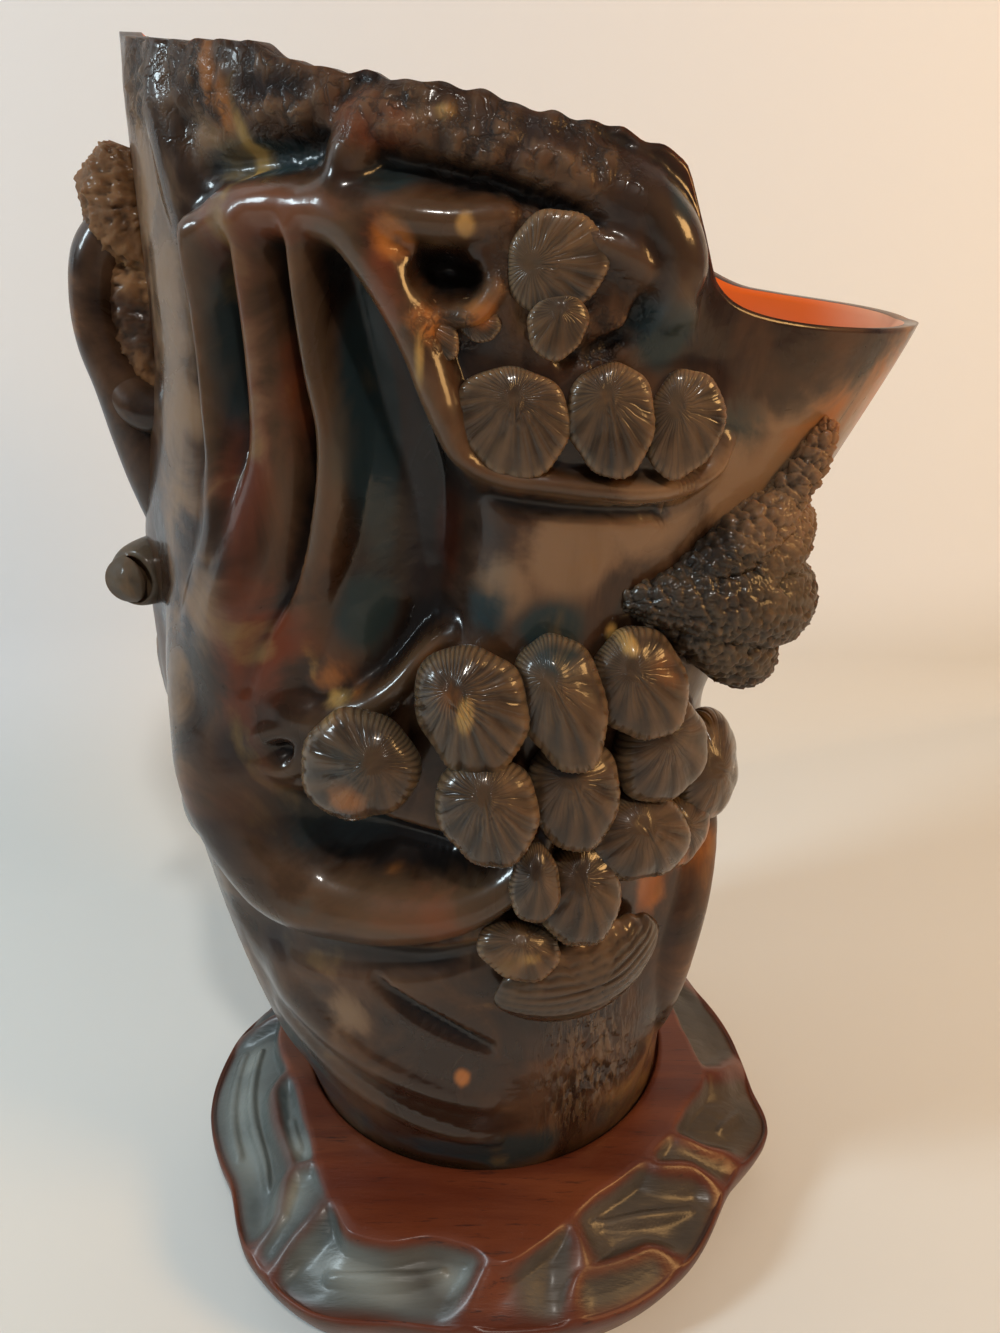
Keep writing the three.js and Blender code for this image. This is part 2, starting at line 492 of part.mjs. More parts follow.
const BOUGHS = [
  { name: 'curled bough', steps: 14,
    path: [[189, 0.878, 0, 0.65], [189.5, 0.87, 0.87, 0.75], [189.4, 0.85, 1.7, 0.75],
      [189.4, 0.817, 2, 0.72], [189.5, 0.783, 1.95, 0.75], [189.5, 0.75, 1.45, 0.85],
      [189.6, 0.71, 0.9, 0.95], [189.7, 0.67, 0.45, 0.95], [189, 0.627, 0.1, 0.9]] },
  { name: 'rough wood inside the curl', steps: 7,
    path: [[183, 0.72, -0.85, 0.75], [186, 0.742, 0.1, 1.15], [186.4, 0.783, 0.68, 1.3],
      [186.4, 0.824, 0.65, 1.3], [186, 0.864, 0.1, 1]] },
  { name: 'knob over the curl', steps: 6,
    path: [[189, 0.844, 0, 0.85], [189.7, 0.868, 0.7, 1.1], [190, 0.892, 0.8, 1.1],
      [190, 0.912, 0.6, 0.92], [190, 0.924, 0.4, 0.55]] },
  { name: 'cut stub', steps: 5,
    path: [[190, 0.545, -0.75, 0.9], [190.4, 0.563, 0.15, 1.1], [191, 0.577, 0.9, 1.1],
      [191, 0.588, 1.5, 0.8]] },
  { name: 'scaled bough', steps: 11,
    path: [[297, 0.616, -0.25, 0.5], [303, 0.611, 0.05, 0.8], [311, 0.607, 0.25, 1.15],
      [319, 0.6, 0.4, 1.45], [327, 0.593, 0.5, 1.65], [335, 0.584, 0.45, 1.6], [344, 0.577, 0, 1.25],
      [352, 0.573, -0.6, 0.65]] },
  { name: 'scaled bough, its tip', steps: 8,
    path: [[306, 0.618, 0, 0.7], [313, 0.631, 0.25, 0.9], [319, 0.654, 0.35, 0.95],
      [324, 0.681, 0.3, 0.78], [328, 0.712, 0.2, 0.3]] },
  { name: 'scaled bough, beside its tip', steps: 4,
    path: [[322, 0.62, 0.4, 1.15], [327, 0.647, 0.4, 1.1], [331, 0.668, 0.25, 0.9],
      [335, 0.681, 0, 0.55]] },
  { name: 'scaled bough, its lower lobe', steps: 8,
    path: [[308, 0.593, 0, 0.6], [314, 0.58, 0.3, 0.9], [321, 0.562, 0.6, 1.1], [328, 0.543, 0.75, 1.15],
      [334, 0.53, 0.7, 1], [340, 0.523, 0.25, 0.65]] },
];

function hornCup() {
  let horn = vesselSolid();
  for (const bough of BOUGHS) horn = horn.add(boughSolid(bough));
  for (const disc of DISCS) horn = horn.add(discSolid(disc));
  return horn.subtract(cavitySolid());
}

// The stand's outline and the edge of its flat top, round from above, as shares of
// STAND_RADIUS and STAND_TOP_RADIUS: [angle, share].
const OUTLINE = [
  [0, 0.98], [20, 0.94], [36, 0.98], [52, 0.95], [70, 0.99], [90, 0.95], [112, 0.99], [132, 0.94],
  [150, 0.95], [163, 0.9], [178, 0.98], [196, 1.03], [213, 1.03], [230, 1.12], [242, 1.14], [258, 1.09],
  [271, 1.1], [292, 1.1], [307, 1.08], [325, 1.02], [341, 1.07], [351, 1.01], [360, 0.98],
];
const TOP_EDGE = [
  [0, 0.9], [20, 0.88], [60, 0.92], [100, 0.88], [140, 0.9], [181, 0.94], [204, 0.88], [220, 0.93],
  [230, 1.01], [240, 1.11], [246, 1.17], [252, 1.16], [261, 1.1], [268, 1.12], [274, 1.19], [281, 1.13],
  [289, 1.05], [298, 1], [330, 0.97], [340, 1], [352, 0.94], [360, 0.9],
];

// The scoops of its border. Each is cut along a line of [angle, radius as a share of STAND_RADIUS],
// and keeps its share of the border against its neighbours, with a ridge left where two of them meet.
const SCOOPS = [
  { spread: 1.05, depth: 1, line: [[181, 0.85], [192, 0.89], [206, 0.905], [219, 0.93], [227, 1.03]] },
  { spread: 0.5, depth: 0.56, line: [[204, 0.756], [214, 0.787], [224, 0.822]] },
  { spread: 0.62, depth: 0.75, line: [[229, 0.892], [232, 0.976], [232, 1.068]] },
  { spread: 1.1, depth: 1.06, line: [[240, 1.086], [248, 1.046], [257, 0.998], [265, 0.945]] },
  { spread: 0.9, depth: 0.88, line: [[274, 1.042], [280, 0.98], [286, 0.914]] },
  { spread: 1.1, depth: 1.06, line: [[292, 0.9], [300, 0.91], [309, 0.923], [316, 0.954]] },
  { spread: 0.6, depth: 0.5, line: [[289, 1.046], [300, 1.046]] },
  { spread: 0.6, depth: 0.75, line: [[316, 0.822], [321, 0.892], [324, 0.976]] },
  { spread: 1, depth: 1, line: [[329, 0.848], [336, 0.9], [343, 0.945], [348, 0.98]] },
  { spread: 1, depth: 0.88, line: [[353, 0.826], [362, 0.848], [373, 0.844], [382, 0.822]] },
  { spread: 0.95, depth: 0.8, line: [[28, 0.844], [37, 0.862], [46, 0.835]] },
  { spread: 1, depth: 0.88, line: [[53, 0.835], [63, 0.866], [74, 0.857]] },
  { spread: 0.95, depth: 0.8, line: [[82, 0.826], [93, 0.84], [104, 0.866]] },
  { spread: 1, depth: 0.88, line: [[112, 0.853], [124, 0.844], [136, 0.826]] },
  { spread: 0.95, depth: 0.8, line: [[143, 0.822], [154, 0.83], [165, 0.809]] },
  { spread: 0.5, depth: 0.63, line: [[172, 0.813], [174, 0.88], [173, 0.945]] },
];

// How far a point of the border is from a scoop's line, in plan.
function distanceToLine(line, point) {
  const spots = line.map(([angle, share]) => {
    const out = share * STAND_RADIUS;
    return new THREE.Vector3(out * Math.cos(radians(angle)), out * Math.sin(radians(angle)), 0);
  });
  const nearest = new THREE.Vector3();
  return Math.min(...spots.slice(1).map((to, i) => {
    return new THREE.Line3(spots[i], to).closestPointToPoint(point, true, nearest).distanceTo(point);
  }));
}

function scoopDepth(angle, out) {
  const point = new THREE.Vector3(out * Math.cos(radians(angle)), out * Math.sin(radians(angle)), 0);
  const felt = SCOOPS.map(({ spread, depth, line }) => {
    return { away: distanceToLine(line, point) / spread, depth };
  });
  felt.sort((one, other) => one.away - other.away);
  const hollow = Math.min(1, (felt[1].away - felt[0].away) / RIDGE_WIDTH);
  return SCOOP_DEPTH * felt[0].depth * (1 - (1 - hollow) ** 1.7);
}

// One block: a flat underside, an undercut side, the scooped border, the flat top and the seat sunk
// in it.
function stand() {
  const BORDER_ROWS = 7;
  const seatRadius = FOOT_RADIUS + SEAT_CLEARANCE;
  const rings = [{ radius: 0, height: 0 }, { foot: true }, { side: 0.55 }];
  for (let row = BORDER_ROWS; row >= 0; row--) rings.push({ border: row / BORDER_ROWS });
  rings.push({ radius: seatRadius, height: STAND_HEIGHT }, { radius: seatRadius, height: seatFloor });
  rings.push({ radius: 0, height: seatFloor });
  const place = (angle, ring) => {
    if (ring.radius !== undefined) return ring;
    const edge = STAND_RADIUS * smoothThrough(OUTLINE, angle);
    if (ring.foot) return { radius: edge - STAND_FOOT_INSET, height: 0 };
    if (ring.side) return { radius: edge - 0.2 * STAND_FOOT_INSET, height: STAND_EDGE_HEIGHT * ring.side };
    const inner = STAND_TOP_RADIUS * smoothThrough(TOP_EDGE, angle);
    const out = mix(inner, edge, ring.border);
    const slope = mix(STAND_HEIGHT, STAND_EDGE_HEIGHT, ring.border ** 1.6);
    const kept = mix(1, 0.35, THREE.MathUtils.smoothstep(out, edge - RIDGE_WIDTH, edge))
      * THREE.MathUtils.smoothstep(out, inner, inner + 0.32 * RIDGE_WIDTH);
    return { radius: out, height: slope - kept * scoopDepth(angle, out) };
  };
  return solidOf(shapedLathe(rings, evenAngles(STAND_COLUMNS), place));
}

function named(name, solid, colour, roughness) {
  const material = new THREE.MeshStandardMaterial({ color: colour, roughness, metalness: 0 });
  const mesh = new THREE.Mesh(geometryOf(solid), material);
  mesh.name = name;
  return mesh;
}

const cupOnStand = new THREE.Group();
cupOnStand.add(named('stand', stand(), 0x4a1d10, 0.4));
cupOnStand.add(named('horn_cup', hornCup(), 0x3b2417, 0.25));

export default cupOnStand;
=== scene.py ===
# %% [markdown]
# # A horn libation cup on its wooden stand
#
# The cup is carved from one horn: a vessel with a low spout, wrapped in a pine tree cut in high
# relief. It stands loose in a shallow seat on a carved hardwood stand. The notebook builds the stand,
# the vessel, the tree's boughs and needle discs, and last the finishes of polished horn and wood.

# %% Load the frame
import math
import bmesh
import bpy
import numpy as np
from mathutils import Matrix, Vector, kdtree, noise


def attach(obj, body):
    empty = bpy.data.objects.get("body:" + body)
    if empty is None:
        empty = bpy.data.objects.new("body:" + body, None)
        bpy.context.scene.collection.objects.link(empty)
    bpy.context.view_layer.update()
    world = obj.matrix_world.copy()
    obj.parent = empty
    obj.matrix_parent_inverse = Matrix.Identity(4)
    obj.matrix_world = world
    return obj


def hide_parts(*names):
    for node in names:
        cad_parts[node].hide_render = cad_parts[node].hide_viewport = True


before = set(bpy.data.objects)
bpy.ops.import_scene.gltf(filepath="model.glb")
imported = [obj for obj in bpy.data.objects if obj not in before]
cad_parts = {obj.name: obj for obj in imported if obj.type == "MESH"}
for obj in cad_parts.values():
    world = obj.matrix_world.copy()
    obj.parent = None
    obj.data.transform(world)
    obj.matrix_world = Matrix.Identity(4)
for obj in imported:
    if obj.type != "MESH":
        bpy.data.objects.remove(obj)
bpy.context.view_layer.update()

noise.seed_set(1)        # so that every run gives the same bark

# %% [markdown]
# ## The view
#
# The photograph was taken from close by, a little above the rim and looking down, so the mouth looks
# large and the stand small. A short lens at the same place gives the same convergence. The floor and
# the wall behind are plain and pale, and their colour alone sets how light the background is.

# %% The camera
CAMERA_PLACE = (0.0026, -0.1401, 0.1456)
LOOKS_DOWN = 23.95                       # degrees below level
camera = bpy.data.objects.new("camera", bpy.data.cameras.new("camera"))
camera.data.lens = 28.36
camera.data.sensor_width = 36
camera.data.clip_start = 0.005
camera.location = CAMERA_PLACE
camera.rotation_euler = (math.radians(90 - LOOKS_DOWN), 0, 0)
bpy.context.scene.collection.objects.link(camera)
bpy.context.scene.camera = camera
bpy.context.scene.view_settings.view_transform = "Standard"
print("camera, mm:", [round(1000 * c, 1) for c in CAMERA_PLACE])

# %% [markdown]
# ## The bare horn
#
# Before carving, the horn is a leaning tube: oval, narrow at the foot and the waist, and flaring to
# one side where the spout is. Four curves hold that shape: how far it reaches towards the spout,
# away from it, and to the front and back, each against the height. Carving is then written in the
# carver's own terms, as an angle round the cup and a height.

# %% Smooth curves through a few stations
MM = 0.001             # the carving is written in millimetres, the scene is in metres
FOOT_HEIGHT = 14.5     # the cup's foot stands this high, in the stand's seat
CUP_HEIGHT = 147.5


def smooth_through(stations, at):
    """A curve through stations (place, value) that never swings past a station's value."""
    at = np.clip(np.asarray(at, float), stations[0][0], stations[-1][0])
    x, y = np.array(stations, float).T
    slope = np.diff(y) / np.diff(x)
    tangent = np.concatenate([slope[:1], np.zeros(len(x) - 2), slope[-1:]])
    same_way = slope[:-1] * slope[1:] > 0
    tangent[1:-1][same_way] = (2 * slope[:-1] * slope[1:])[same_way] / (slope[:-1] + slope[1:])[same_way]
    i = np.clip(np.searchsorted(x, at, side="right") - 1, 0, len(x) - 2)
    step = x[i + 1] - x[i]
    u = (at - x[i]) / step
    return ((2 * u**3 - 3 * u**2 + 1) * y[i] + (u**3 - 2 * u**2 + u) * step * tangent[i]
            + (3 * u**2 - 2 * u**3) * y[i + 1] + (u**3 - u**2) * step * tangent[i + 1])


def fade(low, high, value):
    """0 up to low, 1 from high on, and an easy slope between. Low may be the larger one."""
    t = np.clip((np.asarray(value, float) - low) / (high - low), 0, 1)
    return t * t * (3 - 2 * t)


# %% [markdown]
# ### Four profiles and a rim
#
# Each profile lists a share of the height and a reach in millimetres. The rim is not level: it is
# high over the trunk, drops in one step beside the spout and dips to the lip.

# %% The horn's four profiles and its rim
SPOUT_SIDE = [(0, 29), (0.25, 30.5), (0.44, 31), (0.55, 36.5), (0.67, 45), (0.795, 54.5), (1, 66)]
TRUNK_SIDE = [(0, 29), (0.1, 33), (0.25, 37), (0.42, 40), (0.6, 41), (0.8, 38.5), (1, 39.5)]
FRONT_AND_BACK = [(0, 29), (0.1, 30.5), (0.3, 32), (0.5, 32.5), (1, 32.5)]
RIM = [(0, 131.8), (30, 133.9), (42, 137.8), (70, 145.4), (90, 149.3), (135, 158.4), (180, 161.1),
       (196, 161.6), (212, 160), (230, 159.2), (247, 156.5), (265, 155.2), (285, 152.6), (297, 151),
       (303, 149), (306, 143.5), (309, 138), (314, 135.6), (321, 134.2), (330, 133.2), (345, 132.2),
       (360, 131.8)]


def horn_radius(angle, height):
    """How far the bare horn reaches from its axis, in mm."""
    share = (np.asarray(height, float) - FOOT_HEIGHT) / CUP_HEIGHT
    across, along = np.cos(np.radians(angle)), np.sin(np.radians(angle))
    reach = np.where(across > 0, smooth_through(SPOUT_SIDE, share), smooth_through(TRUNK_SIDE, share))
    return 1 / np.hypot(across / reach, along / smooth_through(FRONT_AND_BACK, share))


rim_at = dict(RIM)
print("mouth, mm: %.0f from spout to trunk" % (horn_radius(0, rim_at[0]) + horn_radius(180, rim_at[180])))

# %% [markdown]
# ## Carving as strokes
#
# A carver works with strokes: a bough is left standing along a line, a hollow is scooped along
# another. So each form here is a path over the horn, given as stops of angle, height, half-width and
# depth in millimetres. Broad masses come first, boughs stand on them, hollows are cut between the
# boughs but never through them, and fine lines come last. Because it is all one height field, the
# forms flow into each other as they do in horn.

# %% A path through a stroke's stops
UNROLLED = 33.0        # the radius in mm at which the horn is laid out flat, to measure strokes on it
THINNEST = 0.2         # no stroke has a smaller half-width, in mm


def turn_from(centre, angle):
    """The turn from one angle to another, the short way round, in degrees."""
    return (angle - centre + 180) % 360 - 180


def eased_path(stops, per_span=6):
    """The stops and points between them, on a curve that passes through every stop."""
    stops = np.array(stops, float)
    padded = np.vstack([2 * stops[0] - stops[1], stops, 2 * stops[-1] - stops[-2]])
    pieces = []
    for a, b, c, d in zip(padded, padded[1:], padded[2:], padded[3:]):
        u = np.linspace(0, 1, per_span, endpoint=False)[:, None]
        bend, twist = 2 * a - 5 * b + 4 * c - d, 3 * b - a - 3 * c + d
        pieces.append(0.5 * (2 * b + (c - a) * u + bend * u**2 + twist * u**3))
    return np.vstack(pieces + [stops[-1:]])


# %% [markdown]
# ### How strongly a stroke is felt
#
# A stroke is deepest on its own line and fades to nothing at its half-width. The roundness says how:
# below 1 the form is full with steep sides, like a bough, and at 2 it runs out softly, like a swell.

# %% The depth of a stroke at each point
def off_path(px, py, i, x, y):
    """How far points are from one straight bit of a path, and how far along that bit they lie."""
    dx, dy = px[i + 1] - px[i], py[i + 1] - py[i]
    t = np.clip(((x - px[i]) * dx + (y - py[i]) * dy) / max(dx * dx + dy * dy, 1e-9), 0, 1)
    return np.hypot(x - px[i] - t * dx, y - py[i] - t * dy), t


def depth_along(path, px, py, x, y, roundness):
    """A stroke's depth at the points (x, y), from its half-widths and depths in columns 2 and 3."""
    felt = np.zeros_like(x)
    for i in range(len(path) - 1):
        away, t = off_path(px, py, i, x, y)
        width = path[i, 2] + t * (path[i + 1, 2] - path[i, 2])
        depth = path[i, 3] + t * (path[i + 1, 3] - path[i, 3])
        share = np.clip(1 - (away / np.maximum(width, THINNEST)) ** 2, 0, 1)
        felt = np.maximum(felt, depth * share**roundness)
    return felt


def stroke(angle, height, stops, roundness=2.0):
    """One stroke on the horn, worked out only for the points near it."""
    path = eased_path(stops)
    middle = path[:, 0].mean()
    u = np.radians(turn_from(middle, angle)) * UNROLLED
    pu, ph = np.radians(path[:, 0] - middle) * UNROLLED, path[:, 1]
    reach = path[:, 2].max() + 1
    near = (u > pu.min() - reach) & (u < pu.max() + reach)
    near &= (height > ph.min() - reach) & (height < ph.max() + reach)
    felt = np.zeros_like(u)
    felt[near] = depth_along(path, pu, ph, u[near], height[near], roundness)
    return felt


# %% [markdown]
# ### The broad masses
#
# The masses are wide and low. They give the trunk its swell, the flank its belly and the foot its
# rocks, and the smaller forms stand on them.

# %% The broad masses under the carving
MASSES = [
    # each stop: angle, height, half-width, height of the swell
    # trunk, from the rim down to the lower bough
    [(200, 158, 14, 1), (202, 140, 16, 2), (206, 120, 17, 2.6), (208, 100, 18, 3), (212, 82, 17, 3.5)],
    # the flank away from the spout
    [(186, 118, 16, 3), (184, 98, 18, 4.4), (185, 78, 18, 4.8), (188, 60, 17, 4.6), (192, 44, 15, 3.6),
     (200, 30, 12, 2)],
    # the trunk's broad front below the arch
    [(218, 112, 12, 2.6), (219, 100, 15, 4.6), (219, 88, 16, 5.4), (221, 78, 15, 5), (228, 68, 12, 3)],
    # the panel of boughs and discs under the front rim
    [(258, 146, 10, 1.6), (276, 140, 14, 2), (294, 138, 13, 2)],
    [(270, 126, 9, 1.6), (286, 125, 9, 1.8), (302, 125, 8, 1.8)],
    # rocks at the foot
    [(216, 38, 18, 1.9), (236, 33, 15, 1.5), (262, 27, 12, 1)],
    # the flank under the spout
    [(342, 74, 12, 1.2), (334, 58, 12, 2.4), (326, 42, 12, 2.4), (316, 26, 10, 1.2)],
    # the bed of the lower discs
    [(284, 90, 13, 1.2), (292, 74, 11, 1)],
    # the back of the trunk
    [(176, 74, 15, 4), (160, 82, 15, 3.4), (148, 94, 14, 3), (138, 108, 13, 2.6), (130, 124, 12, 2)],
    [(172, 150, 12, 1.2), (150, 148, 12, 1.6), (128, 142, 12, 1.8), (112, 134, 12, 1.6)],
    [(92, 96, 13, 1.4), (82, 84, 12, 1.2)],
    [(160, 36, 13, 2), (130, 32, 12, 1.6), (98, 34, 12, 1.6), (66, 30, 11, 1.4)],
]

print(len(MASSES), "masses")

# %% [markdown]
# ### Folds and boughs
#
# The trunk splits into long folds under an arch, like bark drawn over an old wound. A bough sweeps
# across the front under the discs, a second one follows the rim, and roots and rocks fill the foot.
# The folds start at the arch's own height and thin out where they meet the trunk.

# %% The folds and boughs that stand on them
BOUGHS = [
    # the arch's left leg, thin under the arch and broad where it becomes the trunk
    [(222.8, 143, 2.4, 3), (221.8, 138, 1.5, 2.5), (221.4, 131, 1.3, 2), (221.8, 124, 1.4, 1.8),
     (222.6, 118, 2.2, 1.5), (224, 111, 3.2, 1.1), (223.6, 103, 5, 1), (222, 94, 7, 0.9),
     (223, 84, 8, 0.6)],
    # the arch over the great hollow, and its edge running down to the ledge
    [(222.6, 137, 2, 1.8), (223, 140.4, 2.6, 2.4), (226, 143.2, 3.1, 2.9), (232, 144.6, 3.5, 3.2),
     (240, 145, 3.7, 3.3), (246, 144.4, 3.7, 3.3), (251, 143, 3.5, 3.3), (255, 140, 3.4, 3.3),
     (258.6, 136, 3.2, 3.1), (261.4, 132, 3, 3), (264, 127.6, 2.8, 2.8), (267, 123, 2.5, 2.4),
     (271, 119.6, 2.1, 1.6)],
    # the second and third folds
    [(232.6, 143, 2.4, 3), (232.2, 138, 2.3, 2.6), (232.6, 130, 2.6, 2.3), (233, 122, 3.2, 2.2),
     (232, 114, 4.4, 2.2), (229.6, 106, 5, 2), (227, 98, 5.6, 1.5), (226, 89, 6, 0.8)],
    [(242.4, 143, 1.8, 3), (242.2, 137, 1.7, 2.6), (243.2, 130, 1.9, 2.4), (244.6, 124, 2, 2.3),
     (244, 118, 2.1, 2.2), (241.8, 112, 2.4, 1.9), (238.4, 105, 2.2, 1.3), (236.4, 99, 2, 0.6)],
    # the sill under the great hollow
    [(233, 92, 2.6, 1), (238, 90, 2.8, 1.7), (245, 91, 2.6, 1.8), (253, 95, 2.3, 1.8),
     (259, 99, 2, 1.5), (264, 101, 1.6, 0.8)],
    # the lower bough, sweeping from the trunk to the discs
    [(216, 86, 7.4, 1.4), (218, 78, 8.4, 2.8), (222, 70, 8.4, 3.8), (231, 64.6, 7.4, 4.2),
     (242, 63.4, 6.2, 4.2), (254, 64, 5.4, 4), (265, 65.6, 4.6, 3.8), (274, 68.4, 3.8, 3.4),
     (280, 72, 3.1, 2.8), (283, 76, 2.4, 1.6)],
    # the ledge under the upper discs
    [(264, 125.4, 1.5, 1), (267, 122.2, 1.7, 2), (274, 119.8, 1.8, 2.2), (283, 118.8, 1.8, 2.2),
     (291, 118, 1.8, 2.2), (299, 117.4, 1.8, 2.1), (307, 117.8, 1.7, 1.8), (312, 119.4, 1.5, 1.4),
     (314, 122, 1.2, 0.8)],
    # the bough that rises from the arch and follows the rim, ending in a round lobe beside the spout
    [(249, 146, 2.3, 2), (251, 149.6, 2.6, 2.4), (254, 152.4, 3, 2.4), (260, 152.8, 3.4, 2),
     (267, 152, 3.6, 1.7), (275, 150.6, 3.6, 1.7), (283, 149, 3.6, 1.8), (291, 147, 3.8, 2),
     (296.6, 144.6, 4, 2.3), (300, 140.6, 3.8, 2.2), (301, 136, 2.8, 1)],
    [(284, 143.6, 1.4, 0.8), (290, 142, 1.8, 1.6), (295, 140.2, 2, 1.8), (300, 137.6, 2, 1.6),
     (304, 135, 1.4, 0.7)],
    # the twig over the oval hollow
    [(247, 146.4, 2.6, 2.4), (252, 145, 3, 2.7), (257, 144.4, 2.9, 2.4), (263, 144, 2.6, 2.1),
     (269, 144, 2.2, 1.5), (275, 144.6, 1.6, 0.7)],
    # the lips round the oval hollow
    [(260, 141, 1.2, 1.1), (259.6, 137.6, 1.4, 1.5), (263, 135.6, 1.4, 1.5), (270, 135.6, 1.4, 1.5),
     (273.6, 138, 1.2, 1)],
    # the bark plate at the rim
    [(222, 157, 4.4, 0.8), (234, 155.6, 5, 1.2), (245, 154, 4, 0.9)],
    # the sharp edge of the trunk's flat flank
    [(212, 160, 2.2, 0.8), (213, 154, 2.6, 1), (215, 148, 2.8, 0.8), (217, 143, 2.6, 0.4)],
    # a knot with a sunk eye, where the trunk turns into the lower bough
    [(229, 87, 1.5, 1.1), (233, 89, 1.8, 1.5), (237, 87.4, 1.5, 1.2), (234, 83.6, 1.5, 1.2),
     (229, 84, 1.5, 1)],
    [(210, 98, 5, 0.5), (213, 90, 5.4, 1.4), (218, 81, 5.4, 1.6), (223, 74, 4.4, 0.7)],
    # the root that comes down under the spout
    [(338, 76, 4, 1.2), (340, 66, 4.4, 2.2), (334, 56, 4.6, 2.4), (328, 46, 4.4, 2), (330, 34, 4, 1)],
    # rock folds at the foot
    [(210, 46, 4, 0.3), (222, 42, 3.6, 0.7), (236, 37.6, 2.8, 0.8), (254, 33.4, 2.2, 0.6),
     (272, 30, 1.6, 0.3)],
    [(214, 36, 3, 0.3), (233, 30.6, 2.2, 0.5), (254, 25.6, 1.7, 0.6), (274, 22.6, 1.4, 0.4)],
    # boughs of the back
    [(180, 84, 5, 0.6), (170, 88, 6.2, 3), (156, 96, 6, 3.8), (143, 108, 5.6, 3.6), (132, 119, 5, 3.2),
     (121, 123, 4.4, 2.8), (108, 122, 3.8, 2.2), (95, 119, 3, 1.2)],
    [(186, 66, 5, 0.6), (176, 58.6, 6.4, 3), (160, 52, 6.2, 4.2), (137, 50.6, 5.8, 4),
     (114, 56, 5, 3.2), (99, 65, 4, 2)],
    [(172, 152, 3.6, 1), (160, 148, 4.4, 2.8), (144, 144, 4.2, 2.8), (127, 138, 3.8, 2.4),
     (112, 129, 3, 1.4)],
    [(160, 40, 3, 1), (138, 34, 3, 1.3), (110, 36, 2.8, 1.2), (84, 31, 2.6, 1), (60, 34, 2.4, 0.6)],
]

print(len(BOUGHS), "folds and boughs")

# %% [markdown]
# ### Hollows
#
# The great hollow beside the trunk is a smooth scoop with soft edges. The others are cut with a
# narrower gouge, so they have steeper sides. None of them goes through the wall.

# %% The hollows between them
GREAT_HOLLOW = [(246, 143, 2.4, 1.4), (249, 139, 4, 3.4), (252, 133, 6, 4.8), (255, 125, 8.4, 5.4),
                (258, 118, 10.4, 5.4), (258.6, 110, 11.4, 5.2), (257, 103, 9.4, 4.4), (251, 97, 6, 2.6)]
HOLLOWS = [
    # the slots between the folds
    [(226.2, 141, 1.2, 0.6), (226, 137, 1.8, 1.8), (226.2, 131, 2, 2.4), (226.8, 126, 1.6, 2),
     (227.2, 121.5, 1, 0.7)],
    [(238, 141.4, 1.1, 0.8), (238.4, 136, 1.3, 1.9), (239, 130, 1.4, 2.3), (239.8, 122, 1.5, 2.5),
     (238.6, 115, 1.4, 2.3), (235, 107, 1.3, 2), (231, 100, 1.2, 1.3), (228.6, 94, 1, 0.5)],
    # the hollow over the lower bough
    [(228, 78, 4.4, 1.8), (236, 75.4, 5, 3.6), (246, 73, 5, 4.4), (257, 72, 4.4, 4.2),
     (268, 71.6, 3.4, 3), (275, 73, 2, 1.4)],
    # the hollow under it
    [(210, 52, 5, 0.9), (226, 53, 5, 1.3), (243, 54, 4, 1.4), (257, 55, 3, 1.4), (270, 57.4, 2.2, 1)],
    # the smooth scoop over the arch
    [(223, 148.6, 1.4, 1), (231, 148.8, 1.8, 1.9), (239, 149.2, 1.9, 2.1), (245.6, 150.8, 1.4, 1.2)],
    # the oval hollow by the discs
    [(263.6, 139.4, 2, 2.6), (266, 139.2, 2.3, 3.2), (269, 138.8, 1.9, 2.6)],
    # between the rim's bough and the twig
    [(257, 148.8, 1.1, 1), (265, 148, 1.3, 1.7), (274, 147, 1.3, 1.7), (282, 145.6, 1.2, 1.4),
     (289, 143.8, 1, 0.8)],
    # round the lobe, and between it and the discs
    [(295, 143.6, 0.9, 0.8), (297.4, 138, 1.1, 1.3), (294, 133, 1.3, 1.3), (285, 131.6, 1.2, 0.9)],
    # under the ledge
    [(266, 117.6, 1.2, 0.7), (285, 115.8, 1.3, 0.8), (304, 114.8, 1.3, 0.7)],
    # a groove slanting down the front of the foot
    [(244, 50.4, 1.4, 0.8), (251, 47.4, 1.8, 1.3), (261, 44, 1.8, 1.4), (272, 40.6, 1.3, 0.7)],
    # the eye of the knot
    [(232.6, 86.4, 1, 1.2), (233.6, 85.8, 1, 1.2)],
    # hollows of the back
    [(154, 134, 4.8, 2.4), (150, 124, 5.6, 3.2), (152, 112, 5, 2.6)],
    [(166, 70, 4.6, 2.8), (146, 64, 5, 3.2), (124, 66, 4.4, 2.8)],
]

print(1 + len(HOLLOWS), "hollows")

# %% [markdown]
# ### Bark, flakes and hairs
#
# Along the rim and round the upper discs the horn is cut to look like rough bark, in angular chips.
# On the foot a patch of short hairs stands for grass. Both are noise with a shape of its own: tilted
# flat cells for the chips, and drawn-out ridges for the hairs.

# %% Where the bark is, and what a chip and a hair look like
MM_PER_DEGREE = 0.576   # along the horn's girth
HAIR_PATCH = (300, 33)  # the middle of the hairs, as an angle and a height
FELT = 0.02             # a mask below this is as good as nothing
BARK = [
    # rough bark: angle, height, spread round, spread up
    (224, 157, 9, 6.5), (240, 155, 10, 5.5), (258, 154, 12, 4.2), (274, 151.6, 12, 4.4), (287, 150, 8, 4),
    (206, 157, 7, 5), (150, 156, 30, 4), (60, 142, 30, 4), (281, 140, 7, 8), (266, 134.6, 6, 2), (290, 134, 8, 4),
]


def bark_at(angle, height):
    """How rough the bark is at each point, from 0 to 1."""
    rough = np.zeros_like(angle)
    for a, h, round_it, up_it in BARK:
        away = (turn_from(a, angle) / round_it) ** 2 + ((height - h) / up_it) ** 2
        rough = np.maximum(rough, np.exp(-away**2))
    return rough


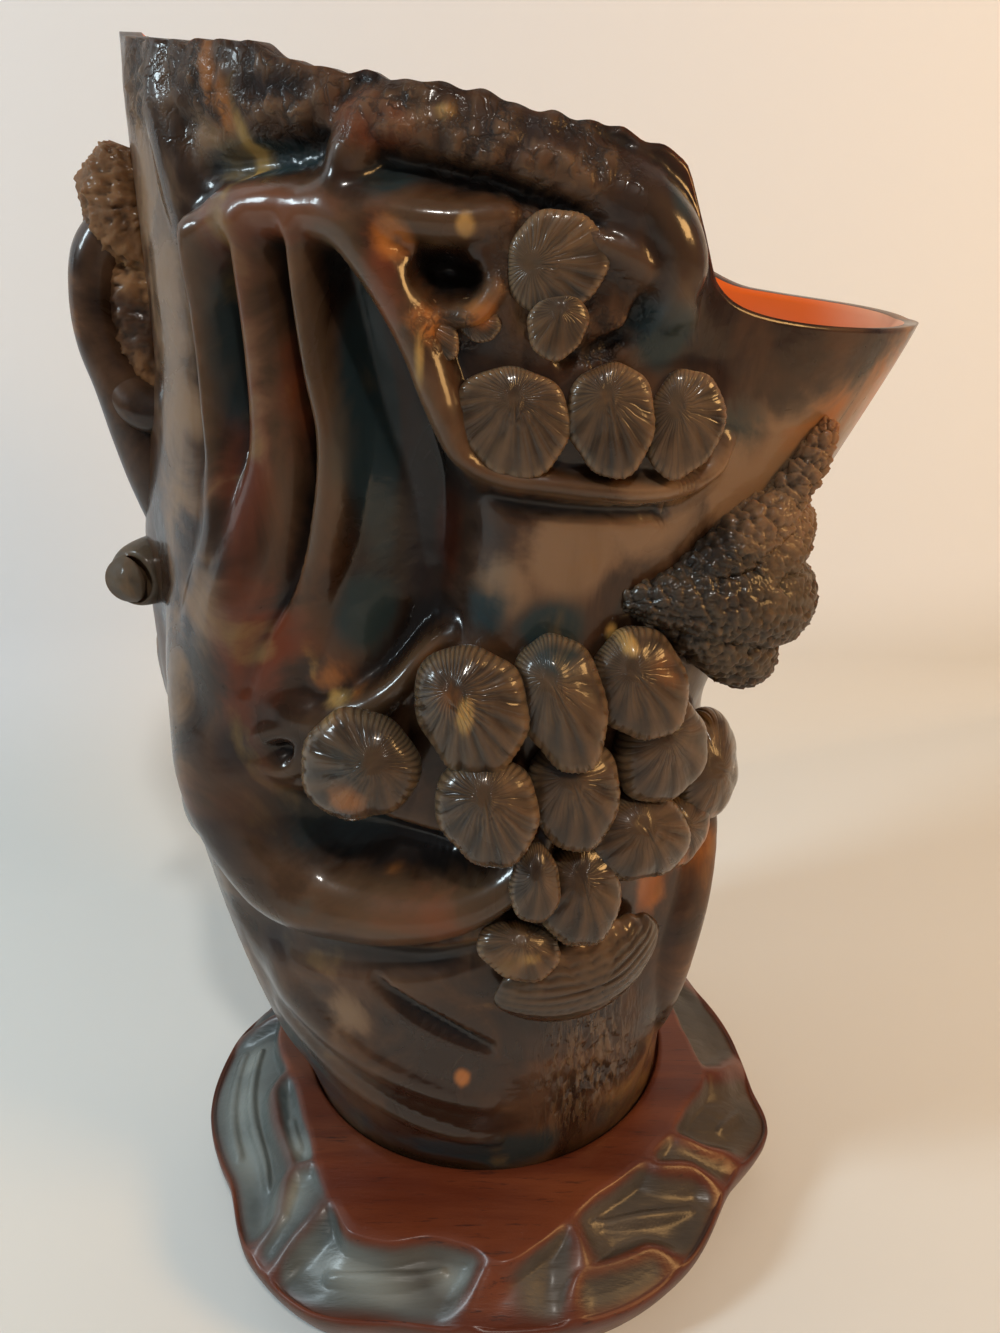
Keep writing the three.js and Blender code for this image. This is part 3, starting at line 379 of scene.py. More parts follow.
def chips(spot):
    """Angular flakes: each cell of a broken pattern is a small flat face with its own tilt."""
    far, cells = noise.voronoi(spot)
    tilt = noise.noise_vector(cells[0] * 7.3 + Vector((3, 5, 8)))
    return 1.6 * (spot - cells[0]).dot(tilt) + 0.5 * min(far[1] - far[0], 0.4)


def bark_chips(a, h):
    return chips(Vector((a * MM_PER_DEGREE / 2.6, h / 1.5, 0)))


def bark_crumbs(a, h):
    return noise.fractal(Vector((a * 0.3, h * 0.5, 2)), 0.7, 2.2, 4)


def fur(a, h):
    """Short carved hairs that run down and towards the spout, in locks."""
    across = MM_PER_DEGREE * (a - 296) + 0.45 * (h - 34)
    along = h - 34 - 0.3 * (a - 296)
    bend = noise.noise(Vector((across * 0.16, along * 0.12, 4)))
    return abs(noise.noise(Vector((1.5 * across + 3 * bend, 0.3 * along + bend, 0)))) ** 0.6 - 0.3


def only_where(mask, value, angle, height):
    """A value worked out point by point, but only where a mask is felt."""
    return np.array([value(a, h) if m > FELT else 0 for a, h, m in zip(angle, height, mask)])


# %% [markdown]
# ### One height from all strokes
#
# Boughs are blended by a power mean, so that two that meet swell into each other. A hollow loses its
# depth where a bough already stands, because a carver leaves the bough whole.

# %% Add up masses, boughs and hollows
BOUGH_ROUND, HOLLOW_ROUND, GREAT_ROUND = 0.85, 1.25, 2.4
BOLDNESS = 1.3         # the listed heights and depths, made this much bolder


def blended(one, other, sharp=4):
    """The larger of two heights, with a soft turn where they meet."""
    return (one**sharp + other**sharp) ** (1 / sharp)


def relief(angle, height):
    """The whole carving over the bare horn, and apart from that how much of it is bough and hollow."""
    mass = np.zeros_like(angle)
    for stops in MASSES:
        mass = blended(mass, stroke(angle, height, stops), 3)
    stands = np.zeros_like(angle)
    for stops in BOUGHS:
        stands = blended(stands, stroke(angle, height, stops, BOUGH_ROUND))
    cut = stroke(angle, height, GREAT_HOLLOW, GREAT_ROUND)
    for stops in HOLLOWS:
        cut = blended(cut, stroke(angle, height, stops, HOLLOW_ROUND))
    spared = 1 - fade(0.6, 3, stands)
    return mass + BOLDNESS * stands - BOLDNESS * cut * spared, stands, cut


# %% [markdown]
# ## The vessel
#
# A turned pot is the natural start: one outline spun about the upright axis, up the outside, over
# the rim and down the inside, with poles closed on the axis. Every point is then moved to its own
# angle and height on the horn and pushed out or in by the carving. The columns stand closer together
# on the front, where the finest carving is.

# %% Spin a pot and read back which ring each point is on
COLUMNS = 400
FOOT_ROWS, OUTER_ROWS, LIP_ROWS, INNER_ROWS, BOWL_ROWS = 3, 190, 3, 16, 6


def spun_pot(rings, columns):
    """A closed pot of that many rings. Its points keep their ring's number as their height."""
    form = bmesh.new()
    outline = [form.verts.new((0 if i in (0, rings - 1) else 1, 0, i)) for i in range(rings)]
    edges = [form.edges.new(pair) for pair in zip(outline, outline[1:])]
    bmesh.ops.spin(form, geom=outline + edges, cent=(0, 0, 0), axis=(0, 0, 1), angle=math.tau, steps=columns,
                   use_merge=True)
    poles = [v for v in form.verts if v.co.xy.length < 0.5]
    bmesh.ops.remove_doubles(form, verts=poles, dist=0.01)
    bmesh.ops.recalc_face_normals(form, faces=form.faces)
    return form


def to_piece(form, name):
    """The finished bmesh as an object of its own, at the origin."""
    mesh = bpy.data.meshes.new(name)
    form.to_mesh(mesh)
    form.free()
    piece = bpy.data.objects.new(name, mesh)
    bpy.context.scene.collection.objects.link(piece)
    return piece


# %% [markdown]
# ### Points in bulk
#
# A carved vessel has tens of thousands of points, so they are read and written as one array. A mark
# is a value kept on each point, which the finish reads later to place its colours.

# %% Read, move and mark a piece's points
def points_of(mesh):
    flat = np.empty(len(mesh.vertices) * 3)
    mesh.vertices.foreach_get("co", flat)
    return flat.reshape(-1, 3)


def move_points(mesh, points):
    mesh.vertices.foreach_set("co", np.asarray(points, float).ravel())
    mesh.update()


def face_out(piece):
    form = bmesh.new()
    form.from_mesh(piece.data)
    bmesh.ops.recalc_face_normals(form, faces=form.faces)
    form.to_mesh(piece.data)
    form.free()
    piece.data.shade_smooth()


def mark(mesh, name, values):
    """Keeps one value for each point under a name that a material can read."""
    layer = mesh.attributes.new(name, "FLOAT", "POINT")
    layer.data.foreach_set("value", np.asarray(values, np.float32))


# %% [markdown]
# ### The rim and the wall
#
# The rim is cut a little unevenly. The wall is thick at the foot and thins towards the rim.

# %% The rim's height and the wall's thickness
WALL_AT_FOOT, WALL_AT_RIM = 8, 2.6


def rim_height(angle):
    around = np.radians(np.asarray(angle) % 360)
    uneven = 0.14 * np.sin(19 * around) + 0.14 * np.sin(37 * around + 1)
    uneven = uneven + 0.16 * np.sin(61 * around + 2 + np.sin(5 * around))
    level = smooth_through(RIM, np.asarray(angle) % 360)
    return level + uneven * fade(140, 150, level)


def wall(angle, height):
    share = (height - FOOT_HEIGHT) / (rim_height(angle) - FOOT_HEIGHT)
    return WALL_AT_FOOT - (WALL_AT_FOOT - WALL_AT_RIM) * fade(0.68, 1, share)


# %% [markdown]
# ### Place the outside
#
# Every ring of the pot gets a height between the foot and the rim, and every point the relief that
# belongs to its angle and height. A blurred copy of the relief tells the crests from the creases.

# %% Place the outside of the pot
CROWDING, CROWDED_AT = 0.42, 262       # how much closer the columns stand, and round which angle
THINNEST_WALL = 1.5                    # mm of horn left under the deepest cut
pot = to_piece(spun_pot(FOOT_ROWS + OUTER_ROWS + LIP_ROWS + INNER_ROWS + BOWL_ROWS, COLUMNS), "horn_vessel")
points = points_of(pot.data)
even = np.degrees(np.arctan2(points[:, 1], points[:, 0])) % 360
angle = (even - np.degrees(CROWDING * np.sin(np.radians(even - CROWDED_AT)))) % 360
ring = np.round(points[:, 2]).astype(int)
rim = rim_height(angle)
share = np.clip((ring - FOOT_ROWS) / OUTER_ROWS, 0, 1)
height = FOOT_HEIGHT + share * (rim - FOOT_HEIGHT)
carving, boughs, cuts = relief(angle, height)
bark = bark_at(angle, height)
grit = only_where(bark, bark_chips, angle, height) + only_where(bark, bark_crumbs, angle, height)
patch = np.exp(-(((angle - HAIR_PATCH[0]) / 13) ** 4 + ((height - HAIR_PATCH[1]) / 12) ** 4))
hairs = only_where(patch, fur, angle, height) * patch
carving = carving + 0.6 * bark * grit + 0.9 * hairs
carving = np.maximum(carving, THINNEST_WALL - wall(angle, height)) * fade(0, 0.05, share)

# %% [markdown]
# ### Crests and creases
#
# The carving is laid out as a sheet, ring by ring, and a blurred copy of it is taken away. What is
# left is above zero on crests, which wear pale, and below zero in creases, which get painted shade.

# %% How far each point stands proud of what is round it
BLUR_STEPS = 36
columns = np.round(even / 360 * COLUMNS).astype(int) % COLUMNS
sheet = np.zeros((ring.max() + 1, COLUMNS))
sheet[ring, columns] = carving * (share > 0) * (ring <= FOOT_ROWS + OUTER_ROWS)
softened = sheet.copy()
for _ in range(BLUR_STEPS):
    softened = (softened + np.roll(softened, 1, 0) + np.roll(softened, -1, 0)
                + np.roll(softened, 1, 1) + np.roll(softened, -1, 1)) / 5
proud = (sheet - softened)[ring, columns]
radius = horn_radius(angle, height) + carving * (1 - 0.35 * fade(0.96, 1, share))
print("crests stand %.1f mm proud, creases lie %.1f mm deep" % (proud.max(), -proud.min()))

# %% [markdown]
# ### Foot, lip and inside
#
# The foot stands on a flat ring round a shallow hollow. The last rings go over the lip and down the
# inside, which follows the bare horn and not the carving, and ends in a round bowl.

# %% Close the foot, turn over the lip and go down the inside
FOOT_RING, FOOT_HOLLOW, HOLLOW_UP = 21, 19, 2   # radius of the ring and of the hollow in it, and its rise
LIP = [(0.75, 0), (0.35, 0), (0, 0.75)]         # share of the lip's width left, and mm below the rim
FLOOR, FLOOR_RISE = FOOT_HEIGHT + 24, 13        # the bottom of the inside, and how far the bowl rises
radius[ring == 0], height[ring == 0] = 0, FOOT_HEIGHT + HOLLOW_UP
radius[ring == 1], height[ring == 1] = FOOT_HOLLOW, FOOT_HEIGHT + HOLLOW_UP
radius[ring == 2], height[ring == 2] = FOOT_RING, FOOT_HEIGHT

over = ring - (FOOT_ROWS + OUTER_ROWS)
rim_radius = horn_radius(angle, rim)
inner_rim = rim_radius - wall(angle, rim)
for step, (across, below) in enumerate(LIP, start=1):
    on_lip = over == step
    radius[on_lip] = (inner_rim + across * (rim_radius - inner_rim))[on_lip]
    height[on_lip] = (rim - below)[on_lip]
inside = over > LIP_ROWS
down = np.clip((over - LIP_ROWS) / INNER_ROWS, 0, 1)
height[inside] = (rim + down * (FLOOR + FLOOR_RISE - rim))[inside]
radius[inside] = (horn_radius(angle, height) - wall(angle, height))[inside]
turning = over > LIP_ROWS + INNER_ROWS
bowl = np.clip((over - LIP_ROWS - INNER_ROWS) / BOWL_ROWS, 0, 1) * np.pi / 2
bowl_radius = horn_radius(angle, FLOOR + FLOOR_RISE) - WALL_AT_FOOT
radius[turning] = (bowl_radius * np.cos(bowl))[turning]
height[turning] = (FLOOR + FLOOR_RISE * (1 - np.sin(bowl)))[turning]

# %% [markdown]
# ### Move the points
#
# Radius, angle and height become places in metres, and the normals are turned outwards.

# %% Move the points of the vessel
def round_axis(radius, angle, height):
    """Places in metres from a radius, an angle and a height."""
    turn = np.radians(angle)
    return np.c_[radius * np.cos(turn), radius * np.sin(turn), height] * MM


move_points(pot.data, round_axis(radius, angle, height))
face_out(pot)
print("vessel:", len(pot.data.polygons), "faces, carving from %.1f to %.1f mm" % (carving.min(), carving.max()))
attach(pot, "cup")
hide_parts("horn_cup")

# %% [markdown]
# ## The stand
#
# The stand is a slab with a wavy outline. Its flat top is polished. Round it runs a border of
# sloping scoops, each like a curled leaf, cut with one sweep of a gouge, with a sharp ridge left
# between it and the next. It is made as the vessel is: a spun pot whose points are moved.

# %% The stand's outline, flat top and scoops
STAND_HEIGHT = 16.0
# each stop: angle, radius
OUTLINE = [(0, 44.6), (20, 42.8), (36, 44.6), (52, 43.2), (70, 45), (90, 43.2), (112, 45), (132, 42.8),
           (150, 43.2), (163, 41), (178, 44.6), (196, 46.9), (213, 46.9), (230, 51), (242, 51.9),
           (258, 49.6), (271, 50), (292, 50), (307, 49.1), (325, 46.4), (341, 48.7), (351, 46),
           (360, 44.6)]
TOP_EDGE = [(0, 33.3), (20, 32.6), (60, 34), (100, 32.6), (140, 33.3), (181, 34.8), (204, 32.6),
            (220, 34.4), (230, 37.4), (240, 41), (246, 43.4), (252, 43), (261, 40.7), (268, 41.6),
            (274, 44), (281, 41.8), (289, 38.8), (298, 37), (330, 35.9), (340, 37), (352, 34.8),
            (360, 33.3)]
SCOOPS = [
    # each: a line along the bottom of the scoop (angle, radius), its share of the border, its depth
    ([(181, 38.6), (192, 40.6), (206, 41.2), (219, 42.4), (227, 47)], 1.05, 3.2),
    ([(204, 34.4), (214, 35.8), (224, 37.4)], 0.5, 1.8),
    ([(229, 40.6), (232, 44.4), (232, 48.6)], 0.62, 2.4),
    ([(240, 49.4), (248, 47.6), (257, 45.4), (265, 43)], 1.1, 3.4),
    ([(274, 47.4), (280, 44.6), (286, 41.6)], 0.9, 2.8),
    ([(292, 41), (300, 41.4), (309, 42), (316, 43.4)], 1.1, 3.4),
    ([(289, 47.6), (300, 47.6)], 0.6, 1.6),
    ([(316, 37.4), (321, 40.6), (324, 44.4)], 0.6, 2.4),
    ([(329, 38.6), (336, 41), (343, 43), (348, 44.6)], 1.0, 3.2),
    ([(353, 37.6), (2, 38.6), (13, 38.4), (22, 37.4)], 1.0, 2.8),
    ([(28, 38.4), (37, 39.2), (46, 38)], 0.95, 2.6),
    ([(53, 38), (63, 39.4), (74, 39)], 1.0, 2.8),
    ([(82, 37.6), (93, 38.2), (104, 39.4)], 0.95, 2.6),
    ([(112, 38.8), (124, 38.4), (136, 37.6)], 1.0, 2.8),
    ([(143, 37.4), (154, 37.8), (165, 36.8)], 0.95, 2.6),
    ([(172, 37), (174, 40), (173, 43)], 0.5, 2),
]
RIDGE_WIDTH = 7        # mm from a ridge to where a scoop has its full depth
CREASES = [
    # fine gouge marks in the scoops: angle, radius, half-width, height
    [(184, 38.4, 0.8, 0.9), (198, 40, 1, 1.1), (214, 41, 0.9, 1), (222, 43, 0.7, 0.6)],
    [(182, 41.6, 0.8, 0.6), (196, 43, 1, 0.8), (210, 43.8, 0.9, 0.7)],
    [(244, 47.6, 0.8, 0.6), (255, 45.4, 1.1, 0.9), (263, 43.4, 0.7, 0.5)],
    [(294, 39.6, 0.7, 0.5), (304, 41.4, 1, 0.9), (314, 44, 0.7, 0.5)],
    [(334, 41.6, 0.7, 0.5), (341, 43.8, 0.9, 0.6)],
    [(213, 35.4, 0.6, 0.5), (222, 37, 0.6, 0.5)],
]


# %% [markdown]
# ### How a scoop is cut
#
# A point on the border belongs to the scoop whose line is nearest. Its depth falls off towards the
# place where the next scoop is as near, and there the ridge is left. Creases are thin gouge marks.

# %% Distance to a scoop's line, depth and creases
def plan(angle, out):
    """An angle and a radius, seen from above as x and y."""
    return out * np.cos(np.radians(angle)), out * np.sin(np.radians(angle))


def apart(angle, out, line):
    """How far each point is from a scoop's line."""
    x, y = plan(angle, out)
    turns = [line[0][0] + turn_from(line[0][0], a) for a, _ in line]
    dense = np.linspace(0, len(line) - 1, 6 * len(line))
    stops = range(len(line))
    px, py = plan(np.interp(dense, stops, turns), np.interp(dense, stops, [r for _, r in line]))
    return np.min([off_path(px, py, i, x, y)[0] for i in range(len(px) - 1)], axis=0)


def scooped_out(angle, out):
    """The depth of the scoops, and a share that is 0 on a ridge and 1 well inside a scoop."""
    away = np.array([apart(angle, out, line) / share for line, share, _ in SCOOPS])
    order = np.argsort(away, axis=0)
    first, second = (np.take_along_axis(away, order[i:i + 1], 0)[0] for i in (0, 1))
    depth = np.array([depth for _, _, depth in SCOOPS])[order[0]]
    hollow = np.clip((second - first) / RIDGE_WIDTH, 0, 1)
    return 0.85 * depth * fade(-0.1, 1.05, hollow), hollow


def gouged(angle, out, marks, roundness):
    """The height of the gouge marks at each point."""
    x, y = plan(angle, out)
    felt = np.zeros_like(angle)
    for stops in marks:
        path = eased_path([(stops[0][0] + turn_from(stops[0][0], a), *rest) for a, *rest in stops])
        px, py = plan(path[:, 0], path[:, 1])
        felt = np.maximum(felt, depth_along(path, px, py, x, y, roundness))
    return felt


print(len(SCOOPS), "scoops,", len(CREASES), "gouge marks")

# %% [markdown]
# ### The block
#
# Rings run up the side, across the border and over the flat top to the seat, which is a shallow
# round step that the cup's foot drops into.

# %% The rings of the stand's side and border
STAND_COLUMNS = 480
SIDE_ROWS, BORDER_ROWS, TOP_ROWS, SEAT_ROWS = 8, 40, 8, 5
EDGE_HEIGHT, SIDE_SLOPE, EDGE_ROUND = 9.5, 3.5, 0.5     # mm: the edge, how far the foot stands in, its rounding
border_from = 1 + SIDE_ROWS
top_from = border_from + BORDER_ROWS
seat_from = top_from + TOP_ROWS
slab = to_piece(spun_pot(seat_from + 1 + SEAT_ROWS, STAND_COLUMNS), "stand_block")
points = points_of(slab.data)
angle = np.degrees(np.arctan2(points[:, 1], points[:, 0])) % 360
ring = np.round(points[:, 2]).astype(int)
edge = smooth_through(OUTLINE, angle)
inner = smooth_through(TOP_EDGE, angle)
side = np.clip((ring - 1) / SIDE_ROWS, 0, 1)
radius = edge - SIDE_SLOPE * (1 - side) ** 1.6 - EDGE_ROUND * side * fade(0.8, 1, side)
edge_height = EDGE_HEIGHT + 0.8 * np.sin(np.radians(7 * angle)) * fade(0, 1, side)
height = edge_height * side
radius[ring == 0], height[ring == 0] = 0, 0

border = np.clip((ring - border_from) / BORDER_ROWS, 0, 1)
on_border = (ring > border_from) & (ring <= top_from)
out = edge - EDGE_ROUND + border * (inner - edge + EDGE_ROUND)
slope = STAND_HEIGHT - (STAND_HEIGHT - edge_height) * (1 - border) ** 1.6
scoop, hollow = scooped_out(angle, out)
inward = fade(0, 1.6, out - inner)
scoop *= inward * (0.35 + 0.65 * fade(0, 5, edge - out))
creased = gouged(angle, out, CREASES, 1.0) * inward
radius[on_border], height[on_border] = out[on_border], (slope - scoop + creased)[on_border]

# %% [markdown]
# ### The top and the seat
#
# The top is level. The seat is a shallow round step, closed by one point in its middle.

# %% The rings of the top and the seat
SEAT_RADIUS, SEAT_DEPTH = 29.5, 1.5
seat_floor = STAND_HEIGHT - SEAT_DEPTH
SEAT = [(SEAT_RADIUS, STAND_HEIGHT - 0.2), (SEAT_RADIUS, seat_floor + 0.1), (SEAT_RADIUS - 0.1, seat_floor),
        (0.5, seat_floor), (0, seat_floor)]
top = np.clip((ring - top_from) / TOP_ROWS, 0, 1)
on_top = (ring > top_from) & (ring <= seat_from)
radius[on_top] = (inner + top * (SEAT_RADIUS + 0.3 - inner))[on_top]
height[on_top] = STAND_HEIGHT
for step, (r, z) in enumerate(SEAT, start=1):
    radius[ring - seat_from == step], height[ring - seat_from == step] = r, z
move_points(slab.data, round_axis(radius, angle, height))
face_out(slab)
print("stand: %.0f mm wide" % (2 * radius.max()), len(slab.data.polygons), "faces")

# %% [markdown]
# ### Marks for the patina
#
# Dark patina lies in the scoops and is rubbed off the ridges, more so on the right. A few spots are
# paler and greener, partly paler patina and partly a painted reflection of the cool window.

# %% Where patina lies and where it is rubbed pale
# each: angle, radius, spread round, spread outwards
PALE = [(197, 41.5, 9, 3.4), (211, 42.5, 9, 2.6), (222, 37, 5, 1.8), (229, 43, 4, 4), (186, 40, 5, 2.4),
        (249, 46.4, 10, 1.7), (266, 44, 4, 1.6)]
on_right = np.exp(-(turn_from(335, angle) / 45) ** 2)
notch = np.exp(-(((angle - 273) / 4) ** 2))
ridge = (1 - fade(0.1, 0.75, hollow)) * (0.6 + 0.4 * on_right)
near_edge = 0.25 + 0.75 * fade(0.2, 3, edge - out)
scooped = fade(0.1, 1.2, out - inner) * (1 - ridge) * (1 - 0.9 * notch) * near_edge
# pale spots: partly paler patina, partly a painted reflection of the window
pale = np.zeros_like(angle)
for a, r, spread_a, spread_r in PALE:
    pale = np.maximum(pale, np.exp(-(((angle - a) / spread_a) ** 2 + ((out - r) / spread_r) ** 2)))
mark(slab.data, "scooped", np.where(on_border, scooped, 0.3 * (side < 1)))
mark(slab.data, "pale", pale * on_border)
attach(slab, "stand")
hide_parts("stand")
print("patina on %.0f%% of the border's points" % (100 * (scooped[on_border] > 0.5).mean()))

# %% [markdown]
# ## Seats on the carved horn
#
# Discs, leaves and the scaled bough stand on the carved surface, so each needs the point under it
# and three directions: out of the horn, round it and up it.

# %% A seat at an angle and a height
def seat_at(angle, height, lift=0.0):
    """A place on the bare horn, and the directions round it, up it and out of it."""
    def spot(a, h):
        reach = float(horn_radius(a, h)) + lift
        return Vector((reach * math.cos(math.radians(a)), reach * math.sin(math.radians(a)), h))
    point = spot(angle, height)
    around = (spot(angle + 1, height) - point).normalized()
    up = (spot(angle, height + 1) - point).normalized()
    out = around.cross(up).normalized()
    return point, around, out.cross(around).normalized(), out


def seat_matrix(angle, height, lift):
    """The same seat as a matrix and a place, for many points at once."""
    point, around, up, out = seat_at(angle, height, lift)
    return np.array([list(around), list(up), list(out)]), np.array(list(point))


def turned(degrees, points):
    """Points turned in the plane of their seat."""
    c, s = math.cos(math.radians(degrees)), math.sin(math.radians(degrees))
    return np.c_[points[:, 0] * c - points[:, 1] * s, points[:, 0] * s + points[:, 1] * c, points[:, 2]]


# %% [markdown]
# ## The needle discs
#
# Pine needles are carved as round pads, like limpets laid over each other: a low dome with needles
# cut as grooves from its centre to its edge, and a thick rim. A sphere pressed flat gives the pad,
# and its points are then moved to cut the grooves. Each pad leans, so that the next one laps it.

# %% The ball that every pad starts from
form = bmesh.new()
bmesh.ops.create_uvsphere(form, u_segments=132, v_segments=34, radius=1.0)
ball_mesh = bpy.data.meshes.new("ball")
form.to_mesh(ball_mesh)
form.free()
ball = points_of(ball_mesh)
print("ball:", len(ball), "points")

# %% [markdown]
# ### Needles, rim and dome
#
# The needles meet at a point set back from the pad's free edge, and run out from it as grooves that
# come and go. The rim is notched with fine lines. No two pads are alike, because their place on the
# cup is the seed of every wave.

# %% Where a pad's needles, rim and dome are
def pad_pattern(ball, towards, needles, seed):
    """Shares from 0 to 1 over the ball: groove, needle and rim, and each point's place on the pad."""
    x, y, z = ball.T
    low = math.radians(90 - towards)
    where = np.arctan2(y, x)
    ax, ay = x + 0.5 * math.cos(low), y + 0.5 * math.sin(low)
    far, ray = np.hypot(ax, ay), np.arctan2(ay, ax)
    free = fade(-0.3, 0.7, np.cos(where - low))
    strength = fade(0.03, 0.2, far) * fade(0, 0.3, z) * (0.35 + 0.65 * fade(-0.6, 0.5, np.cos(ray - low)))
    needle = 0.5 + 0.5 * np.cos(needles * ray + 1.2 * np.sin(3 * ray + seed) + 2.5 * far)
    broken = 0.6 + 0.4 * np.sin(5 * ray + 7 * far + seed) * np.sin(3 * ray + seed)
    hatch = 0.5 + 0.5 * np.cos(46 * where + 2 * np.sin(5 * where + seed))
    edge = np.exp(-(((z - 0.12) / 0.26) ** 2))
    return dict(low=low, where=where, ax=ax, ay=ay, far=far, free=free, strength=strength, needle=needle,
                groove=strength * needle**3 * broken, hatch=hatch, edge=edge)


def pad_form(ball, look, seed, thick, deep, flat):
    """How far the outline swings in and out, and how high the pad rises, over the ball."""
    x, y, z = ball.T
    where, far = look["where"], look["far"]
    wobble = 1 + 0.06 * np.sin(2 * where + seed) + 0.04 * np.sin(3 * where + 2 * seed)
    wobble = wobble + 0.02 * np.sin(7 * where + seed)
    wobble *= 1 + 0.025 * (1 - look["hatch"]) * look["edge"] * look["free"]
    swell = 0.07 * np.sin(2.7 * x + seed) * np.sin(2.3 * y + 2 * seed) * (z > 0)
    peak = 0.2 * np.exp(-((far / 0.5) ** 2))
    tall, round_it = (0.74, 0.5) if flat else (0.92, 0.85)
    top = tall * np.abs(z) ** round_it + (swell + peak) * np.abs(z)
    navel = 0.04 * np.exp(-((far / 0.12) ** 2)) * (z > 0)
    return wobble, thick * np.where(z > 0, top, z) - deep * look["groove"] - navel


# %% [markdown]
# ### One pad
#
# The ball takes the pad's form, is turned so that it leans the right way, and moves to its seat.
# Grooves, the underside and the back edge get painted shade, and the notched rim is pale, partly
# worn and partly a painted highlight on the free edge.

# %% One pad, placed and marked
def pad(ball, angle, height, wide, tall, lift, lean=12, towards=140, slant=0, needles=22, thick=0.5, deep=0.03,
        lined=0.3, flat=False):
    x, y, z = ball.T
    seed = angle * 0.37 + height * 0.11
    look = pad_pattern(ball, towards, needles, seed)
    wobble, rise = pad_form(ball, look, seed, thick, deep, flat)
    formed = turned(-slant, np.c_[x * wobble * wide, y * wobble * tall, rise * 0.5 * (wide + tall)])
    formed = turned(towards, formed)
    tip = math.radians(lean)
    formed = np.c_[formed[:, 0], formed[:, 1] * math.cos(tip) - formed[:, 2] * math.sin(tip),
                   formed[:, 1] * math.sin(tip) + formed[:, 2] * math.cos(tip)]
    axes, point = seat_matrix(angle, height, lift)
    placed = turned(-towards, formed) @ axes + point

    # painted shade: the grooves, the underside and the back edge, which lies under the next pad, go dark
    at_back = fade(0.2, 1, np.cos(look["where"] - look["low"] + math.pi)) * fade(0.75, 0.2, z)
    hollow = 0.35 * look["groove"] + 0.9 * fade(0.16, -0.3, z) + 0.4 * at_back
    # the notched rim on the free edge is pale: partly worn, partly a painted highlight
    worn_and_highlight = look["edge"] * look["free"] * (0.3 + 0.7 * look["hatch"]) * fade(-0.3, 0.1, z)
    worn_and_highlight = worn_and_highlight + 0.35 * look["strength"] * (1 - look["needle"]) ** 2 * fade(0.15, 0.5, look["far"])
    # flat pads: a painted highlight along one side of the rim
    if flat:
        worn_and_highlight = worn_and_highlight + 0.8 * np.exp(-(((z - 0.2) / 0.22) ** 2)) * fade(-0.2, 0.8, np.sin(look["where"]))
    star = np.c_[look["ax"], look["ay"], np.hypot(x, y)]
    return placed, hollow, np.clip(worn_and_highlight, 0, 1), star, np.full(len(x), lined)


# %% [markdown]
# ### Where the pads sit
#
# Seven pads stand under the front rim, thirteen in the cluster below, like shingles, and fourteen on
# the back, which the photograph doesn't show. Each has a place, two half-widths, how far it stands
# off, and the way it leans.

# %% The three groups of pads
PAD_COLUMNS = ("angle", "height", "wide", "tall", "lift", "lean", "towards", "slant", "needles", "thick", "deep",
               "lined")


def pads_of(table, **alike):
    """One set of named values for each row. A short row leaves the last columns as they are."""
    return [dict(zip(PAD_COLUMNS, row), **alike) for row in table]


UPPER_FRONT = [
    (283, 140.2, 4.6, 4.9, 2, 3, 90, 0, 15, 0.42),
    (283, 134.6, 2.9, 3.1, 2.8, 8, 180, 0, 9, 0.55),
    (276.5, 125.4, 5.7, 5.5, 2, 4, 180, 0, 17, 0.4),
    (292.4, 125.4, 4.4, 5.8, 2.1, 8, 150, 5, 15, 0.46),
    (304.4, 124.6, 3.9, 5.7, 1.9, 12, 130, 4, 13, 0.46),
    (263, 134.4, 2.2, 3.6, 1.6, 8, 150, -38, 7, 0.4, 0.02),
    (270.6, 135, 1.7, 2.6, 1.4, 8, 150, -50, 6, 0.4, 0.02),
]
LOWER_FRONT = [
    (248.9, 86.6, 6.61, 7.14, 4.2, 8, 230, 0, 14, 0.56),
    (269.3, 94.2, 6.38, 7.56, 3.6, 6, 150, 0, 18, 0.56, 0.05, 0.9),
    (271.9, 82.0, 5.82, 6.93, 4.8, 8, 170, 0, 15, 0.58, 0.05, 0.8),
    (288.4, 82.2, 5.49, 7.14, 3.2, 16, 145, 8, 13, 0.56),
    (285.3, 94.4, 4.93, 8.19, 3.2, 18, 150, -8, 12, 0.58),
    (308.5, 85, 6.72, 6.72, 3, 20, 140, 12, 13, 0.6),
    (300.4, 95.2, 5.38, 7.14, 3.2, 20, 145, -12, 13, 0.58),
    (331, 76, 6.72, 7.35, 2.8, 20, 120, 0, 13, 0.6),
    (321, 69.6, 4.7, 5.25, 2.6, 20, 130, 0, 11, 0.6),
    (290.6, 67.6, 4.93, 7.35, 3.4, 18, 150, 10, 13, 0.56),
    (304.1, 73.4, 6.72, 6.09, 3.4, 20, 140, 20, 14, 0.6),
    (280.4, 71.4, 3.25, 4.83, 5, 10, 170, 0, 8, 0.6),
    (278.1, 60.6, 5.15, 3.78, 3.6, 26, 175, 10, 11, 0.6),
]
